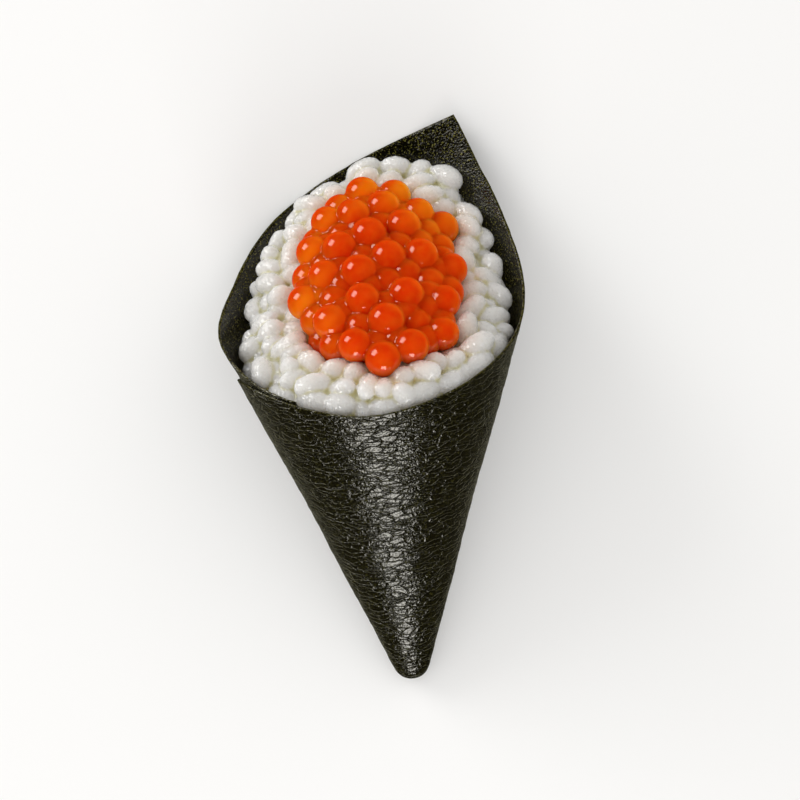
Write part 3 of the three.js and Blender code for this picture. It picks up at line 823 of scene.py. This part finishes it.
# %% [markdown]
# ## One skin round what sticks together
#
# Starch glues cooked grains to each other, and juice joins the eggs: where they touch there is no gap
# and no wall, and light wanders from one into the next. Meshes that only overlap would keep their walls
# inside. A voxel remesh keeps nothing but the outer skin, in squares of the voxel's size, which is the
# smallest detail that survives. It leaves little steps. A light smoothing takes them off the rice, and
# fills the creases between the eggs as juice does. The rice deep in the cone never shows, so it gets
# larger faces: a decimate modifier works where a vertex group lets it.

# %% One skin round what sticks together
RICE_VOXEL, EGG_VOXEL = 0.28, 0.24
SOFTEN = 0.5
RICE_SOFT, EGG_SOFT = 1, 4  # rounds of smoothing
HIDDEN_BELOW = 5.0  # millimetres under the mound
HIDDEN_RATIO, HIDDEN_PULL = 0.54, 1000.0  # share of faces kept in all, and how strongly the group steers


def fused(name, pieces, voxel, rounds, material):
    """One closed skin round several pieces that touch. The pieces are removed."""
    places, faces, start = [], [], 0
    for piece in pieces:
        places.append(points_of(piece))
        faces += [[start + i for i in face.vertices] for face in piece.data.polygons]
        start += len(piece.data.vertices)
        bpy.data.objects.remove(piece)
    joined = mesh_object(name, np.concatenate(places), faces)
    remesh = joined.modifiers.new("fuse", "REMESH")
    remesh.mode, remesh.voxel_size = "VOXEL", voxel * MM
    soften = joined.modifiers.new("soften", "SMOOTH")
    soften.factor, soften.iterations = SOFTEN, rounds
    whole = evaluated(joined, name)
    whole.data.materials.append(material)
    smooth(whole)
    return whole


def thinned(piece):
    """The piece with fewer and larger faces where it never shows."""
    across, upslope, level = from_mouth(points_of(piece))
    deep = np.flatnonzero(level < mound_level(across, upslope) - HIDDEN_BELOW)
    piece.vertex_groups.new(name="hidden").add(deep.tolist(), 1.0, "REPLACE")
    fewer = piece.modifiers.new("thin", "DECIMATE")
    fewer.ratio, fewer.vertex_group, fewer.vertex_group_factor = HIDDEN_RATIO, "hidden", HIDDEN_PULL
    whole = evaluated(piece, piece.name)
    smooth(whole)
    return whole


sticky_rice = thinned(fused("sticky_rice", [rice_core, loose_grains], RICE_VOXEL, RICE_SOFT, cooked_rice))
roe_eggs = fused("roe_eggs", [loose_eggs], EGG_VOXEL, EGG_SOFT, salmon_egg)
for piece in (sticky_rice, roe_eggs):
    print(piece.name, len(piece.data.polygons), "faces")

# %% [markdown]
# ## Eggs made round again
#
# The voxels leave the eggs slightly lumpy, and a tight wet skin shows every bump in its highlights. So
# each vertex looks for the egg that it lies on, and what still lies close to that egg's true ball is put
# back exactly on it. The filled creases between the eggs are too far off and stay as they are.

# %% Eggs made round again
SNAP = (0.05, 0.2)  # how far off an egg's ball a vertex may lie: put back wholly, and not at all


def nearest_eggs(piece):
    """Each vertex, its way from the middle of the egg that it lies on, and that egg's number."""
    places = points_of(piece)
    ways = places[:, None] - egg_centres[None]
    number = (np.linalg.norm(ways, axis=2) - egg_sizes * EGG_RADIUS).argmin(axis=1)
    return places, ways[np.arange(len(places)), number], number


def make_round(piece):
    """Moves what lies close to an egg's ball onto it, and returns the longest way, in millimetres."""
    places, ways, number = nearest_eggs(piece)
    sizes, radii = np.linalg.norm(ways, axis=1), egg_sizes[number] * EGG_RADIUS
    close = 1 - ramp(np.abs(sizes - radii), *SNAP)
    moves = ways * (close * (radii / sizes - 1))[:, None]
    move_to(piece, places + moves)
    return np.linalg.norm(moves, axis=1).max()


print("moved onto the balls by up to", round(make_round(roe_eggs), 3), "mm")

# %% [markdown]
# ## Juice, painted light and painted shade on the rice
#
# The roe weeps a little orange juice, which the nearest grains take up, and the eggs throw orange light on
# them: that tint is partly a real stain and partly painted light. The rice also gets painted shade in its
# creases and deep in the gaps. All of this belongs to a place and not to a texture, so each vertex keeps a
# few numbers between 0 and 1, which the material reads by name. A crease is where a vertex lies lower than
# the vertices round it.

# %% Juice, painted light and painted shade on the rice
JUICE_REACH = 5.0  # millimetres from the nearest egg
DEPTH_FROM, DEPTH_TO = 1.0, 4.5  # millimetres under the tops of the grains
CREASE_SPREAD, CREASE_FROM, CREASE_TO = 3, 0.002, 0.019


def neighbour_mean(piece):
    """A function that takes values at the vertices and returns the mean of each vertex's neighbours."""
    mesh = piece.data
    edges = np.zeros(2 * len(mesh.edges), int)
    mesh.edges.foreach_get("vertices", edges)
    first, last = edges.reshape(-1, 2).T
    size = len(mesh.vertices)
    count = np.bincount(first, minlength=size) + np.bincount(last, minlength=size)

    def mean(values):
        total = np.zeros_like(values)
        np.add.at(total, first, values[last])
        np.add.at(total, last, values[first])
        return total / count.reshape(-1, *[1] * (values.ndim - 1))

    return mean


def creases(piece):
    """1 in the creases between grains and 0 on their backs, from how each vertex lies to its neighbours."""
    mean = neighbour_mean(piece)
    normals = np.zeros(3 * len(piece.data.vertices))
    piece.data.vertices.foreach_get("normal", normals)
    places = points_of(piece)
    hollow = ((mean(places) - places) * normals.reshape(-1, 3)).sum(axis=1)
    for _ in range(CREASE_SPREAD):
        hollow = mean(hollow)
    return ramp(hollow, CREASE_FROM, CREASE_TO)


def stain_and_shade(piece):
    places = points_of(piece)
    nearest = np.sqrt(((places[:, None] - egg_centres[None]) ** 2).sum(-1)).min(axis=1) - EGG_RADIUS
    # Partly a real juice stain and partly painted orange light thrown by the eggs, strongest next to them.
    store(piece, "juice", 1 - ramp(nearest, 0, JUICE_REACH))
    across, upslope, level = from_mouth(places)
    # Painted shade: the deeper a place lies under the tops of the grains, the duller it is.
    top = mound_level(across, upslope) + GRAIN_STAND + GRAIN_RADIUS
    store(piece, "depth", ramp(top - level, DEPTH_FROM, DEPTH_TO))
    # Painted shade in the creases between the grains.
    store(piece, "crease", creases(piece))


stain_and_shade(sticky_rice)
print("kept on", len(sticky_rice.data.vertices), "vertices of the rice")

# %% [markdown]
# ## Where light gathers in the eggs
#
# An egg is a small lens: light that comes in on the window's side gathers on the other side, which is
# brighter for it. Deep in the heap the light has come through several eggs and is red. At the edge of
# the heap that faces the window, white rice lies close under the eggs and sends more light back up
# through them, so they look yellower. These three are painted into the eggs' colour: painted shade on
# the window's side of each egg and deep in the heap, and painted light at that edge. They are kept at
# the vertices too.

# %% Where light gathers in the eggs
GATHER, GATHER_FROM, GATHER_TO = np.array([0.66, -0.62, 0.42]), -0.6, 0.6  # up, and away from the window
GATHER_SPREAD = 2
SHINE_FROM, SHINE_TO = 0.4, 1.0  # parts of the way to the heap's edge
SHINE_SIDE = (-10, 16)  # millimetres towards the window, from none to all
EGG_DEPTH_FROM, EGG_DEPTH_TO = 1.5, 6.0  # millimetres under the tops of the eggs


def shine(piece):
    places, ways, _ = nearest_eggs(piece)
    ways = ways / np.linalg.norm(ways, axis=1, keepdims=True)
    gathered = ramp(ways @ (GATHER / np.linalg.norm(GATHER)), GATHER_FROM, GATHER_TO)
    mean = neighbour_mean(piece)
    for _ in range(GATHER_SPREAD):
        gathered = mean(gathered)
    # Painted shade: each egg is darker on the window's side and lighter where its light gathers.
    store(piece, "shade", 1 - gathered)
    across, upslope, level = from_mouth(places)
    # Painted light: yellower at the heap's edge that faces the window, where the rice lights the eggs from
    # below.
    back = ramp(-upslope - across, *SHINE_SIDE)
    store(piece, "shine", ramp(heap_part(across, upslope), SHINE_FROM, SHINE_TO) * back)
    # Painted shade: redder the deeper a place lies in the heap.
    top = heap_level(across, upslope) + EGG_LEVEL + EGG_RADIUS
    store(piece, "depth", ramp(top - level, EGG_DEPTH_FROM, EGG_DEPTH_TO))


shine(roe_eggs)
print("kept on", len(roe_eggs.data.vertices), "vertices of the eggs")

# %% [markdown]
# ## The skin of roasted seaweed
#
# Nori is algae pressed into paper and roasted. Moist, it is leathery and shines. On the outside fine
# wrinkles split it into low scales about 3 mm wide and 1 mm high that lie round the cone, and each scale
# catches the light on its own. A Voronoi pattern, stretched round the cone, gives the scales: each cell
# leans its own way, like a loose tile, and is lower along its edge. A stretched noise gives longer
# grooves, and a fine noise gives the grit that glitters on both faces. Real grit is finer: it is drawn
# as coarse as it needs to be to show. All of it is relief, so it goes through bump nodes, the finest
# first.

# %% The skin of roasted seaweed
SCALE_ROUND, SCALE_ALONG, SCALE_DEPTH, SCALE_TILT = 2.9, 0.9, 0.1, 0.2
SCALE_EDGE = 0.13  # the part of a scale's size over which its edge falls off
GROOVE_ROUND, GROOVE_ALONG, GROOVE_DEPTH = 4.0, 0.7, 0.06
WANDER_SIZE, WANDER = 3, 2.0  # millimetres over which the scales wander, and how far
GRIT_SIZE, GRIT_DEPTH = 0.36, 0.24
GRIT_ON_SCALES = 0.45  # on a scale's top the grit is worn to this share of its depth
MIDDLE = (0.5, 0.5, 0.5)  # taken off a random colour, it leaves a random direction


def leaning_cells(tree, place):
    """The height of flat cells, one to each unit of place, which lean every way like loose tiles."""
    cell = add(tree, "ShaderNodeTexVoronoi", {"Vector": place, "Scale": 1.0}).outputs
    offset = add(tree, "ShaderNodeVectorMath", {0: place, 1: cell["Position"]}, operation="SUBTRACT")
    lean = add(tree, "ShaderNodeVectorMath", {0: cell["Color"], 1: MIDDLE}, operation="SUBTRACT")
    return add(tree, "ShaderNodeVectorMath", {0: offset.outputs[0], 1: lean.outputs[0]},
               operation="DOT_PRODUCT").outputs["Value"]


def seaweed_relief(tree, place, outside):
    """The normal of the wrinkled skin."""
    bend = add(tree, "ShaderNodeTexNoise", {"Vector": place, "Scale": 1 / (WANDER_SIZE * MM), "Detail": 2.0})
    shift = add(tree, "ShaderNodeVectorMath", {0: bend.outputs["Color"], 1: MIDDLE}, operation="SUBTRACT")
    bent = add(tree, "ShaderNodeVectorMath", {0: shift.outputs[0], 1: [WANDER * MM] * 3, 2: place},
               operation="MULTIPLY_ADD").outputs[0]
    lying, grooved = (add(tree, "ShaderNodeMapping",
                          {"Vector": bent, "Rotation": (TOP_TAPER, 0, 0),
                           "Scale": (across * MM, along * MM, across * MM)},
                          vector_type="TEXTURE").outputs[0]
                      for across, along in ((SCALE_ROUND, SCALE_ALONG), (GROOVE_ROUND, GROOVE_ALONG)))
    from_gap = add(tree, "ShaderNodeTexVoronoi", {"Vector": lying, "Scale": 1.0},
                   feature="DISTANCE_TO_EDGE").outputs["Distance"]
    top = add(tree, "ShaderNodeMapRange", {"Value": from_gap, "From Min": 0.0, "From Max": SCALE_EDGE},
              interpolation_type="SMOOTHSTEP").outputs[0]
    scales = add(tree, "ShaderNodeMath", {0: leaning_cells(tree, lying), 1: SCALE_TILT / SCALE_DEPTH, 2: top},
                 operation="MULTIPLY_ADD").outputs[0]
    grooves = add(tree, "ShaderNodeTexNoise", {"Vector": grooved, "Scale": 1.0, "Detail": 2.0}).outputs[0]
    grit = add(tree, "ShaderNodeTexNoise", {"Vector": place, "Scale": 1 / (GRIT_SIZE * MM),
                                            "Detail": 1.0}).outputs[0]
    rough = add(tree, "ShaderNodeMapRange", {"Value": top, "To Min": 1.0,
                                             "To Max": GRIT_ON_SCALES}).outputs[0]
    normal = add(tree, "ShaderNodeBump", {"Height": grit, "Strength": rough, "Distance": GRIT_DEPTH * MM})
    for height, height_depth in ((grooves, GROOVE_DEPTH), (scales, SCALE_DEPTH)):
        normal = add(tree, "ShaderNodeBump", {"Height": height, "Strength": outside,
                                              "Distance": height_depth * MM, "Normal": normal.outputs[0]})
    return normal.outputs[0]


print("a scale, mm:", SCALE_ROUND, "by", SCALE_ALONG, "and", SCALE_DEPTH, "high")

# %% [markdown]
# ## Roasted seaweed
#
# Roasted, the algae are almost black, with green only where they are thin: the cut edge and small specks
# are olive, and more of them show inside. The skin mirrors like thin leather, less inside than outside.
# Fine fibres stand off the outside and grey its flanks, which is what sheen is for. Colours are written
# as sRGB hex values, and shaders want linear light, so one function turns them.

# %% Roasted seaweed
PATCH_SIZE, SPECK_SIZE = 6, 0.32
SPECKS, EDGE_SPECKS = (0.57, 0.66), (0.42, 0.58)  # the noise from which a speck starts, and is whole
SPECKS_OUTSIDE = 0.3  # as a share of how strongly they show inside
EDGE_WIDTH = 0.35  # millimetres of olive along the cut
SHEEN_OUTSIDE, GLOSS_INSIDE = 0.26, 0.4


def colour(hex_value):
    """A linear RGBA colour from an sRGB hex value such as "#E8E4DA"."""
    parts = [int(hex_value[i : i + 2], 16) / 255 for i in (1, 3, 5)]
    return [c / 12.92 if c <= 0.04045 else ((c + 0.055) / 1.055) ** 2.4 for c in parts] + [1.0]


def new_tree(material, settings):
    """An empty tree with one Principled shader that has these settings. Returns it and the sockets."""
    material.use_nodes = True
    tree = material.node_tree
    tree.nodes.clear()
    shader = add(tree, "ShaderNodeBsdfPrincipled", settings)
    add(tree, "ShaderNodeOutputMaterial", {"Surface": shader.outputs[0]})
    return tree, shader.inputs


def seaweed_colour(tree, place, inside):
    """Black in soft patches, with olive specks and an olive edge."""
    patches = add(tree, "ShaderNodeTexNoise", {"Vector": place, "Scale": 1 / (PATCH_SIZE * MM),
                                               "Detail": 3.0}).outputs[0]
    specks = add(tree, "ShaderNodeTexNoise", {"Vector": place, "Scale": 1 / (SPECK_SIZE * MM),
                                              "Detail": 3.0}).outputs[0]
    speck, fleck = (add(tree, "ShaderNodeMapRange", {"Value": specks, "From Min": start,
                                                     "From Max": end}).outputs[0]
                    for start, end in (SPECKS, EDGE_SPECKS))
    shown = add(tree, "ShaderNodeMapRange", {"Value": inside, "To Min": SPECKS_OUTSIDE,
                                             "To Max": 1.0}).outputs[0]
    from_edge = add(tree, "ShaderNodeAttribute", attribute_name="from_edge").outputs["Fac"]
    near = add(tree, "ShaderNodeMapRange", {"Value": from_edge, "From Min": EDGE_WIDTH,
                                            "From Max": 0.0}).outputs[0]
    speck, rim = (add(tree, "ShaderNodeMath", {0: first, 1: second}, operation="MULTIPLY").outputs[0]
                  for first, second in ((speck, shown), (near, fleck)))
    tint, dull = (add(tree, "ShaderNodeMix", {0: patches, 6: colour(first), 7: colour(second)},
                      data_type="RGBA").outputs[2]
                  for first, second in (("#0C0A01", "#151205"), ("#050400", "#0F0D04")))
    for share, over in ((inside, dull), (speck, colour("#66622C")), (rim, colour("#4E4A20"))):
        tint = add(tree, "ShaderNodeMix", {0: share, 6: tint, 7: over}, data_type="RGBA").outputs[2]
    return tint


def finish_seaweed(material):
    tree, sockets = new_tree(material, {
        "Roughness": 0.14, "IOR": 1.6, "Specular IOR Level": 1.0, "Specular Tint": colour("#FBF8EE"),
        "Sheen Weight": 0.15, "Sheen Roughness": 0.3, "Sheen Tint": colour("#E2DEC0")})
    place = add(tree, "ShaderNodeTexCoord").outputs["Object"]
    inside = add(tree, "ShaderNodeAttribute", attribute_name="inside").outputs["Fac"]
    outside = add(tree, "ShaderNodeMath", {0: 1.0, 1: inside}, operation="SUBTRACT").outputs[0]
    sheen = add(tree, "ShaderNodeMath", {0: outside, 1: SHEEN_OUTSIDE}, operation="MULTIPLY").outputs[0]
    level = add(tree, "ShaderNodeMapRange", {"Value": inside, "To Min": 1.0,
                                             "To Max": GLOSS_INSIDE}).outputs[0]
    for socket, value in {"Base Color": seaweed_colour(tree, place, inside), "Sheen Weight": sheen,
                          "Normal": seaweed_relief(tree, place, outside),
                          "Specular IOR Level": level}.items():
        tree.links.new(value, sockets[socket])


finish_seaweed(roasted_seaweed)
print("seaweed material:", seaweed_sheet.data.materials[0].name)

# %% [markdown]
# ## Cooked rice
#
# A cooked grain is swollen starch: white, but light goes in, wanders for some millimetres and comes out
# again, so edges and thin ends look softer than plaster would. Subsurface scattering does that. The
# moist skin dries in tiny flat facets, and each of them mirrors the window or doesn't. Leaning cells,
# used as a bump on the grain and on a clear coat, break the highlights into such sparkles. Painted shade
# on the deep rice and in the creases, and the juice with painted orange light from the eggs, are tints
# that are laid over the white one by one.

# %% Cooked rice
RICE_CLOUD = 3  # millimetres, from a whiter patch to a duller one
FACET_SIZE, FACET_TILT = 0.32, 0.6
# The juice's colour is partly painted orange light from the eggs.
SOAK = 0.4  # how much of the juice's colour the rice takes at most


def finish_rice(material):
    tree, sockets = new_tree(material, {
        "Roughness": 0.3, "IOR": 1.4, "Specular IOR Level": 0.1, "Coat Weight": 1.0, "Coat Roughness": 0.05,
        "Coat IOR": 1.75, "Subsurface Weight": 1.0, "Subsurface Scale": 7.5 * MM,
        "Subsurface Radius": (1.0, 0.97, 0.92), "Subsurface Anisotropy": 0.5})
    place = add(tree, "ShaderNodeTexCoord").outputs["Object"]
    juice, depth, crease = (add(tree, "ShaderNodeAttribute", attribute_name=name).outputs["Fac"]
                            for name in ("juice", "depth", "crease"))
    cloud = add(tree, "ShaderNodeTexNoise", {"Vector": place, "Scale": 1 / (RICE_CLOUD * MM)}).outputs[0]
    soaked_and_lit = add(tree, "ShaderNodeMath", {0: juice, 1: SOAK}, operation="MULTIPLY").outputs[0]
    tint = colour("#DEDBD7")
    # Over the white: random duller patches, then painted shade deep in the gaps and in the creases, then the
    # juice stain with painted orange light from the eggs.
    for share, over in ((cloud, "#D3D0C9"), (depth, "#DAD5B6"), (crease, "#D4D0B2"), (soaked_and_lit, "#F4CCAA")):
        tint = add(tree, "ShaderNodeMix", {0: share, 6: tint, 7: colour(over)}, data_type="RGBA").outputs[2]
    cell = add(tree, "ShaderNodeVectorMath", {0: place, "Scale": 1 / (FACET_SIZE * MM)},
               operation="SCALE").outputs[0]
    skin = add(tree, "ShaderNodeBump", {"Height": leaning_cells(tree, cell), "Strength": 1.0,
                                        "Distance": FACET_SIZE * FACET_TILT * MM}).outputs[0]
    for socket, value in {"Base Color": tint, "Normal": skin, "Coat Normal": skin}.items():
        tree.links.new(value, sockets[socket])


finish_rice(cooked_rice)
print("rice material:", sticky_rice.data.materials[0].name)

# %% [markdown]
# ## Salmon roe
#
# An egg is orange oil and water in a tight glossy skin. Light goes in, is tinted, and wanders far, even
# into the next egg, so the heap glows like one jelly. Subsurface scattering with a length of some
# millimetres, longest for red, gives that glow. The gloss is what tells one egg from the next: each skin
# mirrors the window as one crisp spot. With juice between the eggs their rims mirror little, so the gloss
# fades where the skin turns away, which a Layer Weight node measures.

# %% Salmon roe
ROE_CLOUD, CLOUD_EDGES = 2.5, (0.35, 0.65)  # millimetres, and the noise at either end of the change
GLOSS_FADE, GLOSS_AT_RIM = (0.24, 0.42), 0.04  # how far the skin is turned away, from full to faint


def finish_roe(material):
    tree, sockets = new_tree(material, {
        "Roughness": 0.0, "IOR": 1.5, "Specular IOR Level": 1.0, "Specular Tint": colour("#FFE6D8"),
        "Subsurface Weight": 1.0, "Subsurface Scale": 7.0 * MM, "Subsurface Radius": (1.0, 0.4, 0.12),
        "Subsurface Anisotropy": 0.6})
    place = add(tree, "ShaderNodeTexCoord").outputs["Object"]
    shine, shade, depth = (add(tree, "ShaderNodeAttribute", attribute_name=name).outputs["Fac"]
                           for name in ("shine", "shade", "depth"))
    noise_value = add(tree, "ShaderNodeTexNoise", {"Vector": place, "Scale": 1 / (ROE_CLOUD * MM)}).outputs[0]
    facing = add(tree, "ShaderNodeLayerWeight", {"Blend": 0.5}).outputs["Facing"]
    cloud, gloss = (add(tree, "ShaderNodeMapRange", {"Value": value, "From Min": start, "From Max": end,
                                                     "To Min": low, "To Max": high}).outputs[0]
                    for value, (start, end), low, high in ((noise_value, CLOUD_EDGES, 0.0, 1.0),
                                                           (facing, GLOSS_FADE, 1.0, GLOSS_AT_RIM)))
    tint = colour("#DC4A08")
    # Over the egg's own orange: random clouds, painted light at the heap's edge (shine), painted shade on
    # each egg's window side (shade) and painted shade deep in the heap.
    for share, over in ((cloud, "#E25E10"), (shine, "#F28E18"), (shade, "#BC3A04"), (depth, "#CC3404")):
        tint = add(tree, "ShaderNodeMix", {0: share, 6: tint, 7: colour(over)}, data_type="RGBA").outputs[2]
    for socket, value in {"Base Color": tint, "Specular IOR Level": gloss}.items():
        tree.links.new(value, sockets[socket])


finish_roe(salmon_egg)
print("roe material:", roe_eggs.data.materials[0].name)

# %% [markdown]
# ## What rides on what
#
# The roll has no moving parts, so all of it rides on one body. Each new piece takes the place of the
# plain CAD solid that it was made from.

# %% What rides on what
for piece, node, slot in ((seaweed_sheet, "nori", "seaweed"), (sticky_rice, "rice", "cooked_rice"),
                          (roe_eggs, "roe", "salmon_roe")):
    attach(piece, "root")
    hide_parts(node)

# %% [markdown]
# ## Floor and light
#
# A pale floor and even light from all round keep the shadows soft. One square softbox behind the roll on
# the left gives each egg its bright window, and one in front runs a streak down the wrapped cone and
# puts a second, fainter spot on the eggs. The wide fill lights, the white surroundings and the floor
# would lie on every wet skin as a grey haze, so they light the food but are hidden from the rays that
# mirror.

# %% Floor and light
FLOOR_SIZE = 3000  # millimetres
FLOOR_DROP = 0.05  # the roll's flat strip and the floor would otherwise flicker through each other
AIM = Vector((0, 0.01, 0.015))
LIGHTS = [  # name, direction from the roll, distance, width, height (m), power (W), whether gloss shows it
    ("window", (-0.70, 0.64, 0.32), 1.2, 0.68, 0.7, 6.4, True),
    ("front_strip", (-0.04, -0.9, 0.44), 1.2, 0.56, 0.62, 5.2, True),
    ("left_wall", (-0.95, -0.15, 0.28), 1.4, 1.8, 0.7, 2, False),
    ("sky", (0.5, 0.65, 0.55), 1.5, 2.4, 2.0, 3.0, False),
]
SURROUND_STRENGTH = 0.75


def make_floor():
    half = FLOOR_SIZE / 2
    corners = [(x, y, -FLOOR_DROP) for x, y in ((-half, -half), (half, -half), (half, half), (-half, half))]
    floor = mesh_object("floor", corners, [(0, 1, 2, 3)])
    # A matt painted table: pale and without a reflection, so that only the soft shadow shows on it.
    material = bpy.data.materials.new("Pale_table")
    new_tree(material, {"Base Color": colour("#F4F3F1"), "Roughness": 0.7})
    floor.data.materials.append(material)
    floor.visible_glossy = False
    return floor


def make_light(name, way, distance, width, height, power, reflected):
    lamp = bpy.data.lights.new(name, "AREA")
    lamp.shape, lamp.size, lamp.size_y, lamp.energy = "RECTANGLE", width, height, power
    light = bpy.data.objects.new(name, lamp)
    way = Vector(way).normalized()
    light.location = AIM + way * distance
    light.rotation_euler = way.to_track_quat("Z", "Y").to_euler()
    light.visible_glossy = reflected
    bpy.context.scene.collection.objects.link(light)


make_floor()
for light in LIGHTS:
    make_light(*light)
world = bpy.data.worlds.new("studio")
world.use_nodes = True
world.node_tree.nodes["Background"].inputs["Color"].default_value = (1, 1, 1, 1)
world.node_tree.nodes["Background"].inputs["Strength"].default_value = SURROUND_STRENGTH
bpy.context.scene.world = world
world.cycles_visibility.glossy = False
bpy.context.scene.view_settings.view_transform = "Standard"
print("lights:", [light[0] for light in LIGHTS])

# %% [markdown]
# ## The camera
#
# The camera looks straight down from half a metre, through a long lens, so that the roll is hardly
# distorted. It is turned a little about its line of sight, so that the roll leans a little.

# %% The camera
CAMERA_PLACE = Vector((0.00331, 0.00103, 0.4988))
CAMERA_TURN = math.radians(-6.65)
CAMERA_LENS, CAMERA_SENSOR = 123.75, 36.0
CAMERA_CLIP = (0.01, 10)
camera_data = bpy.data.cameras.new("camera")
camera_data.lens, camera_data.sensor_width = CAMERA_LENS, CAMERA_SENSOR
camera_data.clip_start, camera_data.clip_end = CAMERA_CLIP
camera = bpy.data.objects.new("camera", camera_data)
camera.location = CAMERA_PLACE
camera.rotation_euler = (0, 0, CAMERA_TURN)
bpy.context.scene.collection.objects.link(camera)
bpy.context.scene.camera = camera
print("camera height, mm:", round(camera.location.z / MM))
